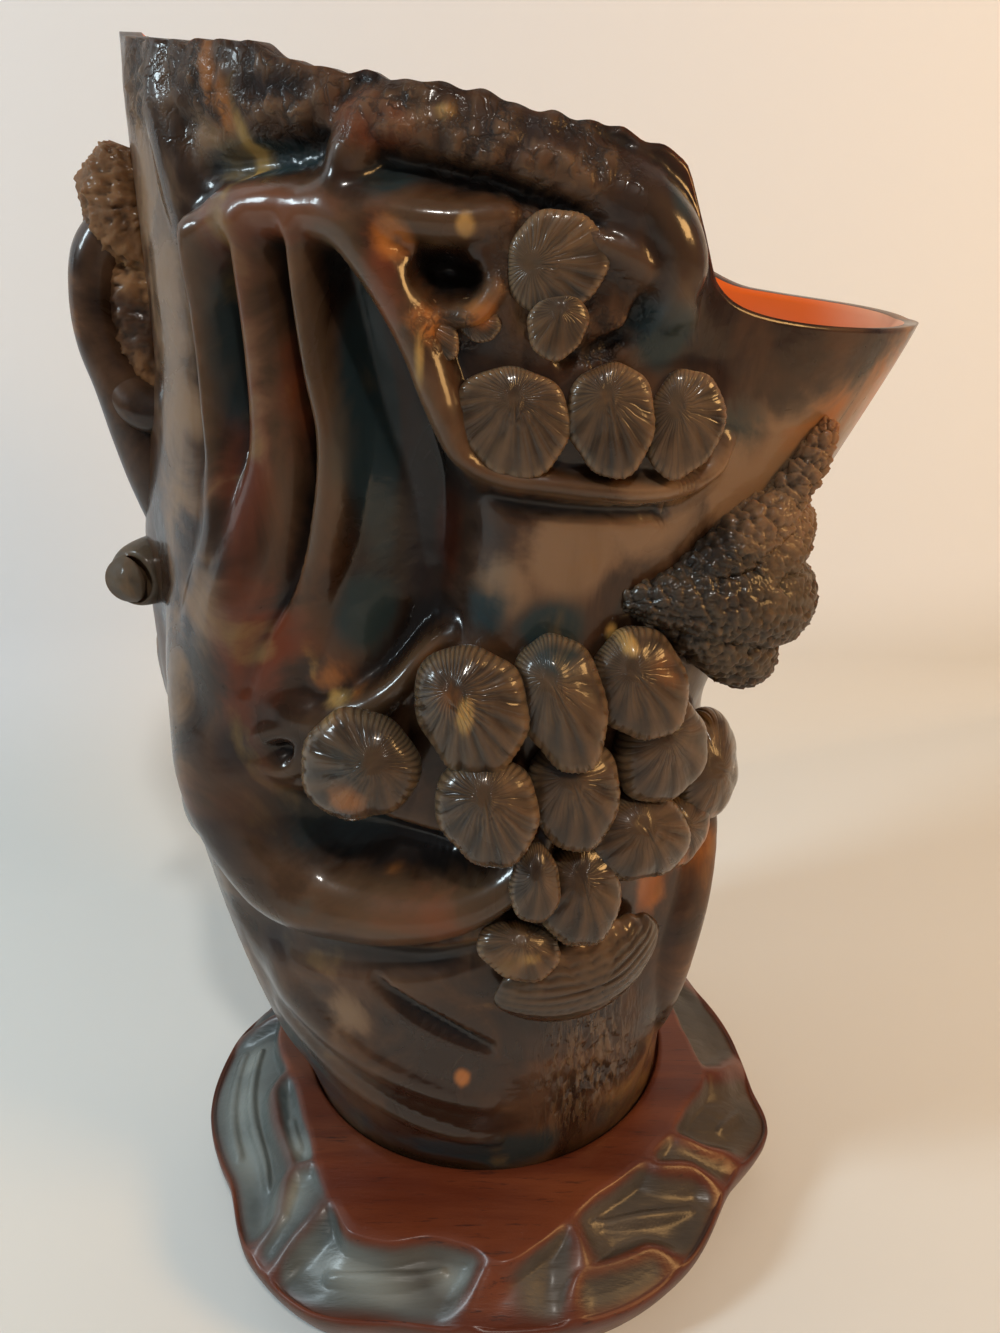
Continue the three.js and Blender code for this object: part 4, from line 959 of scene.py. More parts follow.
BACK = [
    (65, 85.3, 6.2, 6.2, 3, 20, 220, 0, 13),
    (75, 95.6, 5.8, 6.4, 3, 18, 210, 0, 13),
    (83, 107.4, 6.2, 6.2, 2.8, 16, 220, 0, 15),
    (84, 81.6, 6.2, 6.6, 3.4, 18, 190, 0, 15),
    (92, 93.4, 6.4, 6.4, 3.4, 16, 190, 0, 17),
    (100, 103, 6.6, 6.6, 3, 12, 200, 0, 17),
    (110, 91.2, 5.8, 6.2, 3.4, 14, 160, 0, 15),
    (89, 71.3, 5.6, 5.6, 3.2, 18, 180, 0, 13),
    (70, 73.5, 5.2, 5.6, 2.8, 18, 210, 0, 13),
    (117, 141.4, 6.2, 6.2, 2.2, 8, 180, 0, 17),
    (102, 135.4, 5.6, 5.6, 2.2, 12, 200, 0, 15),
    (120, 129.6, 4.6, 4.8, 2.2, 12, 160, 0, 13),
    (28, 73.5, 5.8, 6, 2.8, 14, 200, 0, 15),
    (40, 64.6, 5.4, 5.6, 2.8, 14, 200, 0, 13),
]


# %% [markdown]
# ### Build the groups
#
# Where one pad comes close to the next the crease between them gets painted shade, so the distance
# to the neighbours is kept as part of the hollow mark.

# %% Build the groups and mark their creases
CREASE_REACH = 1.4     # mm


def crowded(mine, others):
    """How close each point is to the next pad: 1 where they touch, 0 out of the crease's reach."""
    near = [points[::3] for points in others]
    tree = kdtree.KDTree(sum(len(points) for points in near))
    for i, spot in enumerate(np.vstack(near)):
        tree.insert(spot, i)
    tree.balance()
    return np.array([1 - min(tree.find(spot)[2], CREASE_REACH) / CREASE_REACH for spot in mine]) ** 1.5


PADS = []
for name, group in (("discs_upper_front", pads_of(UPPER_FRONT, lined=0.6, flat=True)),
                    ("discs_lower_front", pads_of(LOWER_FRONT)), ("discs_back", pads_of(BACK))):
    form = bmesh.new()
    for _ in group:
        form.from_mesh(ball_mesh)
    piece = to_piece(form, name)
    placed, hollow, worn_and_highlight, star, lined = zip(*(pad(ball, **one) for one in group))
    move_points(piece.data, np.vstack(placed) * MM)
    face_out(piece)
    # painted shade in the creases where pads come close
    close = [np.maximum(dark, crowded(mine, [other for other in placed if other is not mine]))
             for mine, dark in zip(placed, hollow)]
    for label, values in (("hollow", close), ("worn_and_highlight", worn_and_highlight), ("lined", lined)):
        mark(piece.data, label, np.concatenate(values))
    rays = piece.data.attributes.new("star", "FLOAT_VECTOR", "POINT")
    rays.data.foreach_set("vector", np.vstack(star).ravel())
    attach(piece, "cup")
    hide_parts("horn_cup")
    PADS.append(piece)
    print(name, len(group), "pads,", len(piece.data.polygons), "faces")

# %% [markdown]
# ## Boughs in the round
#
# The scaled bough under the spout, the curled bough that makes a handle on the other side and the
# cut stub stand too far out for a height field. Each is a tube: a ring of points extruded along a
# path of seats, with its own thickness at each step.

# %% A tube along seats
def tube(form, stops, sides, steps, seated=True):
    """Adds a closed tube. Its stops are (angle, height, lift, thickness), or (x, y, z, thickness)."""
    path = eased_path(stops, steps)
    spots = [seat_at(a, h, lift)[0] if seated else Vector((a, h, lift)) for a, h, lift, _ in path]
    side = (spots[1] - spots[0]).orthogonal().normalized()
    rings = []
    for i, spot in enumerate(spots):
        ahead = (spots[min(i + 1, len(spots) - 1)] - spots[max(i - 1, 0)]).normalized()
        side = (side - ahead * side.dot(ahead)).normalized()
        lay = Matrix.Translation(spot) @ Matrix((side, ahead.cross(side), ahead)).transposed().to_4x4()
        made = bmesh.ops.create_circle(form, cap_ends=False, segments=sides, radius=path[i][3], matrix=lay)
        rings.append(list(dict.fromkeys(edge for v in made["verts"] for edge in v.link_edges)))
    for one, other in zip(rings, rings[1:]):
        bmesh.ops.bridge_loops(form, edges=one + other)
    for ends, last, before in ((rings[0], spots[0], spots[1]), (rings[-1], spots[-1], spots[-2])):
        point = form.verts.new(last * 1.5 - before * 0.5)
        for edge in ends:
            form.faces.new((edge.verts[0], edge.verts[1], point))


def bough(name, tubes, seated=True):
    """A piece of one or more tubes, each with its stops, sides and steps from stop to stop."""
    form = bmesh.new()
    for stops, sides, steps in tubes:
        tube(form, stops, sides, steps, seated)
    bmesh.ops.recalc_face_normals(form, faces=form.faces)
    bmesh.ops.scale(form, vec=(MM, MM, MM), verts=form.verts)
    piece = to_piece(form, name)
    piece.data.shade_smooth()
    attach(piece, "cup")
    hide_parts("horn_cup")
    print(name, len(piece.data.polygons), "faces")
    return piece


# %% [markdown]
# ### Roughen a surface
#
# Every point of a bough moves out along its own normal by an amount that a pattern gives. What lies
# deep gets painted shade and what stands out is marked pale, as worn.

# %% Push a surface in and out
def push_out(piece, by):
    normals = np.empty(len(piece.data.vertices) * 3)
    piece.data.vertices.foreach_get("normal", normals)
    points = points_of(piece.data)
    amounts = np.array([by(Vector(p) / MM) for p in points])
    move_points(piece.data, points + normals.reshape(-1, 3) * amounts[:, None] * MM)
    # painted shade where the surface lies deep
    mark(piece.data, "hollow", np.clip(-1.6 * (amounts - np.median(amounts)), 0, 1))
    mark(piece.data, "worn_and_highlight", np.clip(1.4 * (amounts - np.percentile(amounts, 80)), 0, 1))


# %% [markdown]
# ### The scaled bough
#
# A knotty bough hangs under the spout, covered in small angular scales that point to its tip. Five
# tubes make its body, and broken cells push the surface out into scales.

# %% The scaled bough under the spout
TO_TIP = Vector((0.45, 0.15, 0.88))
SCALED_BOUGH = [
    # along the horn, under the spout
    ([(300, 104.6, -1, 1.4), (305, 104.4, 0.2, 2.8), (312, 104, 1, 4.4), (319, 103.2, 1.7, 5.7),
      (327, 102, 2.1, 6.5), (335, 100.6, 1.9, 6.3), (344, 99.6, 0, 5), (352, 99, -2.4, 2.6)], 104, 22),
    # up to the spout's edge
    ([(311, 105.6, 0.2, 2.8), (316, 108, 1, 3.4), (321, 110.6, 1.3, 3.6), (325, 112.6, 1.4, 3.2),
      (329, 114, 1, 2.2)], 72, 20),
    ([(325, 111, 0.6, 2.2), (328, 114.6, 1, 2.6), (330.4, 118, 1.2, 2.3), (332, 121.4, 1.1, 1.4),
      (332.6, 123, 1, 0.6)], 64, 24),
    ([(322, 106, 1.6, 4.4), (328, 108.6, 1.8, 4.2), (333, 110, 1, 3.4), (338, 111, 0, 2.2)], 64, 22),
    # below, to the discs
    ([(309, 102, 0, 2.2), (314, 100, 1.2, 3.4), (321, 97.4, 2.4, 4.3), (328, 94.6, 3, 4.5),
      (334, 92.6, 2.8, 4), (340, 91.6, 1, 2.6)], 72, 22),
]


def scales(spot):
    """Each scale rises to its tip, with a crack round it."""
    cell = spot / 1.35
    far, cells = noise.voronoi(cell)
    rising = (cell - cells[0]).dot(TO_TIP)
    crack = max(0.0, 0.14 - (far[1] - far[0])) / 0.14
    return 0.2 * max(0.0, 0.8 - far[0] ** 2) + 0.4 * rising + 0.25 * chips(spot / 0.9) - 0.3 * crack


scaled = bough("scaled_bough", SCALED_BOUGH)
push_out(scaled, scales)

# %% [markdown]
# ### The curled bough
#
# On the far side a bough leaves the rim, curls out and comes back to the trunk, so it can be held.
# Rough raw wood fills the inside of the curl, and a rough knob sits on top. A cut stub stands below.

# %% The curled bough that makes a handle, with the rough wood inside the curl
CURL = [
    ([(-38, -6, 144, 2.6), (-41.4, -7, 143, 3), (-44.6, -7.4, 140, 3), (-45.8, -7.6, 135, 2.9),
      (-45.6, -7.6, 130, 3), (-44, -7.4, 125, 3.4), (-42.4, -7.2, 119, 3.8), (-41, -7, 113, 3.8),
      (-39.4, -6.4, 107, 3.6), (-37.6, -6, 102, 3)], 48, 12),
    ([(-44, -7.6, 125, 2.8), (-41.4, -9, 122.4, 3), (-38.4, -9.6, 122, 2.6), (-35, -9, 124, 2)], 40, 12),
]
CORE = [([(-36, -2, 121, 3), (-39.4, -4, 124, 4.6), (-41, -4.6, 130, 5.2), (-40.8, -4.6, 136, 5.2),
          (-38.6, -4, 142, 4)], 64, 20)]
KNOB = [([(-38, -6, 139, 3.4), (-40.6, -7, 142.6, 4.4), (-41.2, -7.4, 146, 4.4), (-40.4, -7.2, 149, 3.7),
          (-39.8, -7, 150.8, 2.2)], 64, 18)]


def rough_bark(spot):
    coarse, fine = noise.fractal(spot / 2.2, 0.8, 2.2, 4), noise.fractal(spot / 0.7, 1, 2, 2)
    return 0.5 * coarse + 0.4 * chips(spot / 1.1) + 0.3 * fine


curl = bough("curled_bough", CURL, seated=False)
core = bough("curled_bough_core", CORE, seated=False)
knob = bough("curled_bough_knob", KNOB, seated=False)
push_out(core, rough_bark)
push_out(knob, rough_bark)
# painted shade on the side of the curl towards the trunk
mark(curl.data, "hollow", 0.7 * fade(-43, -39, points_of(curl.data)[:, 0] / MM))
mark(curl.data, "worn_and_highlight", np.zeros(len(curl.data.vertices)))

# %% [markdown]
# ### The cut stub
#
# A short branch was sawn off below the curl. Its end is a smooth rounded face, worn pale in the
# middle. From just behind that face back to the trunk the stub gets painted shade.

# %% The cut stub
CUT_FACE = (-44.6, -11.4, 101)
STUB = [([(-39, -4, 101, 3.4), (-41.6, -7, 101.4, 4.2), (-43.4, -9.4, 101.2, 4.3), (-44.6, -11.2, 101, 3.9),
          (-45, -12, 101, 3.1), CUT_FACE + (2.2,), (-44, -10.6, 101, 1.2)], 48, 12)]
stub = bough("cut_stub", STUB, seated=False)
from_cut = np.linalg.norm(points_of(stub.data) / MM - CUT_FACE, axis=1)
# painted shade from just behind the cut face to the trunk
mark(stub.data, "hollow", 0.8 * fade(4, 6.5, from_cut))
mark(stub.data, "worn_and_highlight", fade(3.4, 2.2, from_cut))

# %% [markdown]
# ## The broad leaf
#
# A broad leaf with fine ribs lies low on the front. It is a flat pad too: the same ball, pressed and
# bent, with straight ribs and a saw-toothed edge.

# %% The broad leaf
LEAF_WIDE, LEAF_TALL, LEAF_THICK = 12.5, 6.4, 7
form = bmesh.new()
form.from_mesh(ball_mesh)
leaf = to_piece(form, "broad_leaf")
x, y, z = ball.T
line = 34 * (y - 0.35 * x * x) + 1.5 * np.sin(2.2 * x) + 0.8 * np.sin(7 * x + 3 * y)
ribs = 0.055 * (np.abs(np.sin(line / 2)) ** 0.7 - 0.5) * np.clip(z, 0, 1) ** 0.5
saw = 0.09 * np.abs(np.sin(13 * x)) * fade(0.1, 0.6, y)
rise = 0.36 * z + 0.6 * ribs + 0.14 * np.clip(z, 0, 1) * (1 - y)
bent = np.c_[x * LEAF_WIDE, (y * (1 - 0.25 * x * x) + saw) * LEAF_TALL, rise * LEAF_THICK - 1.8 * x * x]
axes, point = seat_matrix(294, 53.6, 2)
move_points(leaf.data, (turned(9, bent) @ axes + point) * MM)
face_out(leaf)
# painted shade between the ribs
mark(leaf.data, "hollow", np.clip(-28 * ribs, 0, 1))
mark(leaf.data, "worn_and_highlight", np.clip(0.5 * fade(0.6, 0.9, y) * fade(-0.2, 0.2, z) + 9 * np.clip(ribs, 0, 1), 0, 1))
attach(leaf, "cup")
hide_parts("horn_cup")
print("leaf:", len(leaf.data.polygons), "faces")

# %% [markdown]
# ## The finish of horn
#
# Polished horn is dark, nearly black where it is thick, red-brown where light gets in, amber and
# orange where it is thin, and cloudy grey or tan along its fibres. Here each of those colours has a
# place on the cup, kept as a mask on the points, and noise stretched along the fibres breaks up its
# edges. Two masks paint light: gold is painted glints, and the grey is partly painted reflection in
# the hollows. A clear, glossy surface goes over all of it.

# %% Where each colour lies: angle, height, spread round, spread up, strength
TINTS = {
    "amber": [(226, 157, 2, 4, 0.5), (229, 153, 1.6, 3.5, 0.8), (259, 142.4, 4, 2.2, 1),
              (263, 135, 4, 2.4, 0.6), (271, 135.4, 3, 1.6, 0.7), (240, 95, 5, 2.4, 0.6),
              (246, 93.6, 4, 2, 0.5), (249, 84, 4, 3, 0.8), (266, 97, 4, 3, 0.5), (302, 98, 4, 3, 0.4),
              (252, 69, 7, 1, 0.5), (328, 66, 7, 5, 0.8), (316, 62, 5, 7, 0.8), (265, 35.4, 2.6, 2, 1),
              (350, 124, 22, 6, 0.6), (180, 130, 8, 8, 0.8), (130, 60, 14, 14, 0.5),
              (20, 60, 16, 16, 0.4), (240, 118, 2.6, 14, 0.3)],
    "red": [(229, 124, 5, 20, 0.8), (238, 145, 14, 3, 0.9), (257, 138, 4, 8, 0.8),
            (231, 98, 8, 12, 0.6), (263, 113, 5, 8, 0.8), (260, 66, 14, 4, 0.5), (238, 128, 3, 10, 0.5),
            (255, 152, 8, 3, 0.6), (280, 150, 12, 2, 0.4), (215, 75, 10, 10, 0.4),
            (150, 100, 20, 30, 0.5), (80, 60, 20, 20, 0.4)],
    "tan": [(303, 114, 12, 6, 1.1), (288, 111, 9, 5, 1), (275, 107, 6, 4, 0.8), (325, 118, 18, 8, 1),
            (345, 122, 16, 8, 0.9), (237, 43, 8, 4, 0.5), (262, 41, 10, 5, 0.4), (30, 115, 24, 14, 0.8),
            (198, 56, 8, 6, 0.5), (262, 57, 16, 1.6, 0.7), (209, 132, 9, 36, 0.75),
            (211, 92, 9, 18, 0.7), (264, 153, 5, 1.4, 0.5), (233, 128, 2.4, 10, 0.25),
            (221, 104, 6, 10, 0.5), (222, 152, 4, 3, 0.5)],
    # gold: painted glints, where the warm lamp's highlights fall on the discs and boughs
    "gold_painted_glint": [(268.4, 95.4, 1.6, 2.2, 0.9), (297, 101, 1.6, 1.4, 0.8), (243, 93, 4, 1.6, 0.7),
             (238, 96, 1.4, 3, 0.5), (269, 143.6, 1.6, 1.2, 0.9), (266, 153, 2.4, 1, 0.6),
             (262, 132.4, 1, 3, 0.6), (231, 150, 1.2, 4, 0.5), (280, 61, 2, 1, 0.4),
             (95, 93, 2, 2.4, 0.8), (103, 102, 1.6, 2, 0.7)],
    "deep": [(222, 72, 7, 6, 0.7), (240, 60.5, 12, 2.4, 0.7), (226, 86, 4, 4, 0.5),
             (204, 66, 7, 14, 0.5), (256, 112, 5, 10, 0.9), (212, 50, 9, 5, 0.5),
             (276, 151, 14, 2.6, 0.7), (294, 146, 6, 5, 0.6), (238, 156, 8, 2.4, 0.6),
             (256, 153, 4, 3, 0.4)],
    # blue-grey: partly smoky horn, partly a painted teal reflection in the hollows and slots
    "smoke_and_painted_reflection": [(249, 86.6, 5, 6, 0.5), (236, 66, 8, 2, 0.4), (216, 30, 12, 8, 0.6),
              (249, 122, 4, 20, 1.1), (247, 104, 6, 6, 1), (224.4, 131, 2, 7, 1),
              (271, 104, 6, 3.4, 0.7), (284, 102, 7, 3, 0.9), (301, 134, 5, 4, 1),
              (300, 145, 3, 3, 0.9), (268, 20, 44, 4, 0.7), (208, 24, 20, 8, 0.7),
              (235, 149, 10, 1.8, 1), (256, 147, 7, 2, 0.6), (240, 74, 10, 5, 0.6),
              (225, 60, 10, 8, 0.4), (316, 124, 8, 4, 0.5), (100, 120, 18, 12, 0.5)],
}


# %% [markdown]
# ### Put the colours on the points
#
# Each colour is a soft spot round its place, and the strongest one wins.

# %% Mark every piece with the colours
def tint(piece):
    points = points_of(piece.data) / MM
    angle = np.degrees(np.arctan2(points[:, 1], points[:, 0])) % 360
    for name, places in TINTS.items():
        mask = np.zeros(len(points))
        for a, h, spread_a, spread_h, strength in places:
            away = (turn_from(a, angle) / spread_a) ** 2 + ((points[:, 2] - h) / spread_h) ** 2
            mask = np.maximum(mask, strength * np.exp(-away))
        mark(piece.data, name, mask)


# the hollow mark is painted shade: dark in creases and in cuts, less so where boughs stand
painted_shade_in_cuts = 0.5 * np.clip(cuts / 3, 0, 1) * (1 - np.clip(boughs / 2, 0, 1))
mark(pot.data, "hollow", np.clip(fade(0.15, 1.3, -proud) + painted_shade_in_cuts, 0, 1))
mark(pot.data, "worn_and_highlight", 0.4 * fade(0.2, 1.4, proud) + 0.4 * bark * np.clip(grit, 0, 1))
mark(pot.data, "hair", patch)
mark(pot.data, "rough", bark)
for piece in [pot] + PADS + [scaled, curl, core, knob, stub, leaf]:
    tint(piece)
print("marks on the vessel:", [layer.name for layer in pot.data.attributes if layer.name in TINTS])

# %% [markdown]
# ### Short names for shader nodes
#
# Materials here are written as small sums over nodes. One helper adds a node and sets or links its
# sockets, and the others mix two colours, spread a value over a range, and read a mark.

# %% Helpers for shader nodes
def set_or_link(tree, socket, value):
    if isinstance(value, bpy.types.NodeSocket):
        tree.links.new(value, socket)
    else:
        socket.default_value = value


def add(tree, kind, settings=None, **inputs):
    """A new node. An input is named as in Blender, with _ for a space, or i0, i1, ... by its place."""
    node = tree.nodes.new(kind)
    for key, value in (settings or {}).items():
        setattr(node, key, value)
    for key, value in inputs.items():
        by_place = key[0] == "i" and key[1:].isdigit()
        set_or_link(tree, node.inputs[int(key[1:])] if by_place else node.inputs[key.replace("_", " ")], value)
    return node


def attribute(tree, name):
    return add(tree, "ShaderNodeAttribute", {"attribute_name": name}).outputs["Fac"]


def here(tree):
    """The place on the object, in metres."""
    return add(tree, "ShaderNodeTexCoord").outputs["Object"]


def blend(tree, factor, one, other):
    """One colour where the factor is 0, the other where it is 1."""
    node = add(tree, "ShaderNodeMix", {"data_type": "RGBA"}, i0=factor, i6=one, i7=other)
    return node.outputs[2]


def span(tree, value, low, high, to_low=0.0, to_high=1.0):
    """As fade does for points: from low to high the result eases from to_low to to_high."""
    return add(tree, "ShaderNodeMapRange", {"interpolation_type": "SMOOTHSTEP"}, i0=value, i1=low, i2=high,
               i3=to_low, i4=to_high).outputs[0]


def times(tree, one, other):
    return add(tree, "ShaderNodeMath", {"operation": "MULTIPLY"}, i0=one, i1=other).outputs[0]


def plus(tree, one, other):
    return add(tree, "ShaderNodeMath", {"operation": "ADD"}, i0=one, i1=other).outputs[0]


# %% [markdown]
# ### Fibres, clouds and grain
#
# Horn is drawn out along its length. One group gives a fine fibre, which is noise squeezed across the
# grain, a broad cloud, and the height of a very fine grain with soft dents, which keeps the gloss
# from looking like glass. The same group serves every horn finish, each with its own scale.

# %% The shader group of horn: fibres, clouds and grain
fibres = bpy.data.node_groups.new("horn_fibres", "ShaderNodeTree")
fibres.interface.new_socket("Scale", in_out="INPUT", socket_type="NodeSocketFloat").default_value = 60.0
fibres.interface.new_socket("Stretch", in_out="INPUT", socket_type="NodeSocketFloat").default_value = 0.12
for label in ("Fibres", "Clouds", "Grain"):
    fibres.interface.new_socket(label, in_out="OUTPUT", socket_type="NodeSocketFloat")
given, gives = fibres.nodes.new("NodeGroupInput"), fibres.nodes.new("NodeGroupOutput")
place = here(fibres)
squeeze = add(fibres, "ShaderNodeCombineXYZ", X=1.0, Y=1.0, Z=given.outputs["Stretch"])
drawn = add(fibres, "ShaderNodeVectorMath", {"operation": "MULTIPLY"}, i0=place, i1=squeeze.outputs[0])
thread = add(fibres, "ShaderNodeTexNoise", Vector=drawn.outputs[0], Scale=given.outputs["Scale"], Detail=6.0,
             Roughness=0.6, Distortion=0.4)
broad = add(fibres, "ShaderNodeTexNoise", Vector=place, Scale=70.0, Detail=5.0, Roughness=0.55, Distortion=0.8)
fine = add(fibres, "ShaderNodeTexNoise", Vector=place, Scale=900.0, Detail=3.0)
soft = add(fibres, "ShaderNodeTexNoise", Vector=place, Scale=150.0, Detail=3.0)
grain = plus(fibres, times(fibres, fine.outputs["Fac"], 0.35), times(fibres, soft.outputs["Fac"], 3.0))
fibres.links.new(thread.outputs["Fac"], gives.inputs["Fibres"])
fibres.links.new(broad.outputs["Fac"], gives.inputs["Clouds"])
fibres.links.new(grain, gives.inputs["Grain"])
print("group:", [socket.name for socket in fibres.interface.items_tree])

# %% [markdown]
# ### What is cut into the vessel
#
# Only the vessel has hairs and bark, so these two are made in its own finish. Hairs are drawn-out
# noise, felt where the hair mark is. Between chips of bark are cracks, from a pattern of cells.

# %% Hairs and cracked bark
def carved_hair(tree):
    """Short hairs cut side by side, slanting up towards the spout, only where the hair mark is."""
    lay = add(tree, "ShaderNodeMapping", Vector=here(tree), Rotation=(0, -0.5, 0), Scale=(1500.0, 300.0, 260.0))
    strands = add(tree, "ShaderNodeTexNoise", Vector=lay.outputs[0], Scale=1.0, Detail=2.0, Distortion=0.6)
    return times(tree, span(tree, strands.outputs["Fac"], 0.46, 0.6), attribute(tree, "hair"))


def crackle(tree):
    """The cracks between chips of bark: 1 in a crack, 0 on a chip or away from the bark."""
    place = here(tree)
    drift = add(tree, "ShaderNodeTexNoise", Vector=place, Scale=330.0, Detail=4.0)
    lay = add(tree, "ShaderNodeVectorMath", {"operation": "MULTIPLY_ADD"}, i0=drift.outputs["Color"],
              i1=(0.007, 0.007, 0.005), i2=place)
    cells = add(tree, "ShaderNodeTexVoronoi", {"feature": "DISTANCE_TO_EDGE"}, Vector=lay.outputs[0], Scale=520.0)
    some = span(tree, drift.outputs["Fac"], 0.4, 0.58, 0.15, 1.0)
    cracks = times(tree, span(tree, cells.outputs["Distance"], 0.2, 0.0), some)
    return times(tree, cracks, attribute(tree, "rough"))


# %% [markdown]
# ### Needles
#
# Needles are cuts along the rays of each pad, deeper at its edge and round the point where they
# meet. The star mark holds each point's place on its pad, and how far out it is.

# %% Needles
def needles(tree):
    """Dark cuts, the pale hairs between them, and the pale rim of a pad."""
    where = add(tree, "ShaderNodeAttribute", {"attribute_name": "star"})
    parts = add(tree, "ShaderNodeSeparateXYZ", Vector=where.outputs["Vector"])
    x, y, out = parts.outputs["X"], parts.outputs["Y"], parts.outputs["Z"]
    ray = add(tree, "ShaderNodeMath", {"operation": "ARCTAN2"}, i0=y, i1=x).outputs[0]
    flat = add(tree, "ShaderNodeCombineXYZ", X=x, Y=y)
    far = add(tree, "ShaderNodeVectorMath", {"operation": "LENGTH"}, i0=flat.outputs[0]).outputs["Value"]
    drift = add(tree, "ShaderNodeTexNoise", Vector=here(tree), Scale=260.0, Detail=2.0).outputs["Fac"]
    turn = plus(tree, times(tree, ray, 38.0), times(tree, drift, 5.0))
    wave = add(tree, "ShaderNodeMath", {"operation": "SINE"}, i0=turn).outputs[0]
    centre = times(tree, span(tree, far, 0.06, 0.3), span(tree, far, 0.9, 0.4, 0.5, 1.0))
    inner = times(tree, times(tree, centre, attribute(tree, "lined")), span(tree, drift, 0.35, 0.6, 0.2, 1.0))
    edge = times(tree, span(tree, out, 0.8, 0.97), 0.8)
    reach = add(tree, "ShaderNodeMath", {"operation": "MAXIMUM"}, i0=inner, i1=edge).outputs[0]
    cuts = times(tree, span(tree, wave, 0.1, 0.95), reach)
    hairs = times(tree, span(tree, wave, -0.4, -0.98), reach)
    return cuts, hairs, span(tree, out, 0.8, 0.96, 0.0, 0.4)


# %% [markdown]
# ### The colours of horn
#
# The marks lay red, tan, amber, blue-grey and gold over a brown base, in this order, with edges
# broken up by clouds and fibres. Hollows get painted shade before the last three go on. The
# blue-grey is partly smoky horn and partly a painted reflection, and the gold is painted glints.

# %% Base colour and clouds of colour
SHADES = {
    "red": (0.115, 0.026, 0.009, 1),
    "tan": (0.19, 0.112, 0.062, 1),
    "amber": (0.34, 0.115, 0.022, 1),
    # painted shade
    "hollow": (0.007, 0.006, 0.006, 1),
    # partly smoky horn, partly a painted reflection in the hollows
    "smoke_and_painted_reflection": (0.017, 0.028, 0.030, 1),
    "deep": (0.020, 0.011, 0.009, 1),
    # painted glints
    "gold_painted_glint": (0.42, 0.25, 0.075, 1),
}
GROOVE_BROWN = (0.014, 0.009, 0.006, 1)
CRACK_BLACK = (0.012, 0.009, 0.008, 1)
# pale for worn crests, and for the painted highlights on the pads' rims
WORN_AND_HIGHLIGHT_TAN = (0.2, 0.115, 0.06, 1)
HAIR_TAN = (0.16, 0.10, 0.055, 1)
RIM_TAN = (0.20, 0.135, 0.078, 1)
NEEDLE_TAN = (0.22, 0.14, 0.07, 1)


def clouded(tree, cloud, fibre, base, pale, strength):
    """The base colour with every mark's colour over it, painted shade, reflections and glints among them."""
    colour = blend(tree, span(tree, cloud, 0.38, 0.66), base, pale)
    edges = plus(tree, span(tree, cloud, 0.3, 0.7, -0.25, 0.25), span(tree, fibre, 0.3, 0.7, -0.12, 0.12))
    for label, shade in SHADES.items():
        # the hollow mark: painted shade in creases and between parts
        if label == "hollow":
            mask = times(tree, attribute(tree, label), 0.85)
        else:
            mask = span(tree, plus(tree, attribute(tree, label), edges), 0.18, 0.7, 0.0, strength)
        colour = blend(tree, mask, colour, shade)
    return colour


# %% [markdown]
# ### The horn finish
#
# Over the clouds go what is cut and what is worn: needles on the pads, hairs and cracks on the
# vessel, pale crests and pad rims, the rims partly a painted highlight, and dark fibres over all. A
# thin clear coat gives the polish, a little more of it low down, where hands hold the foot, and less
# on rough bark.

# %% The horn finish
COAT_ROUGHNESS = 0.11
THROUGH_HORN = (0.004, 0.0014, 0.0005)      # how far red, green and blue light travel in it, in metres


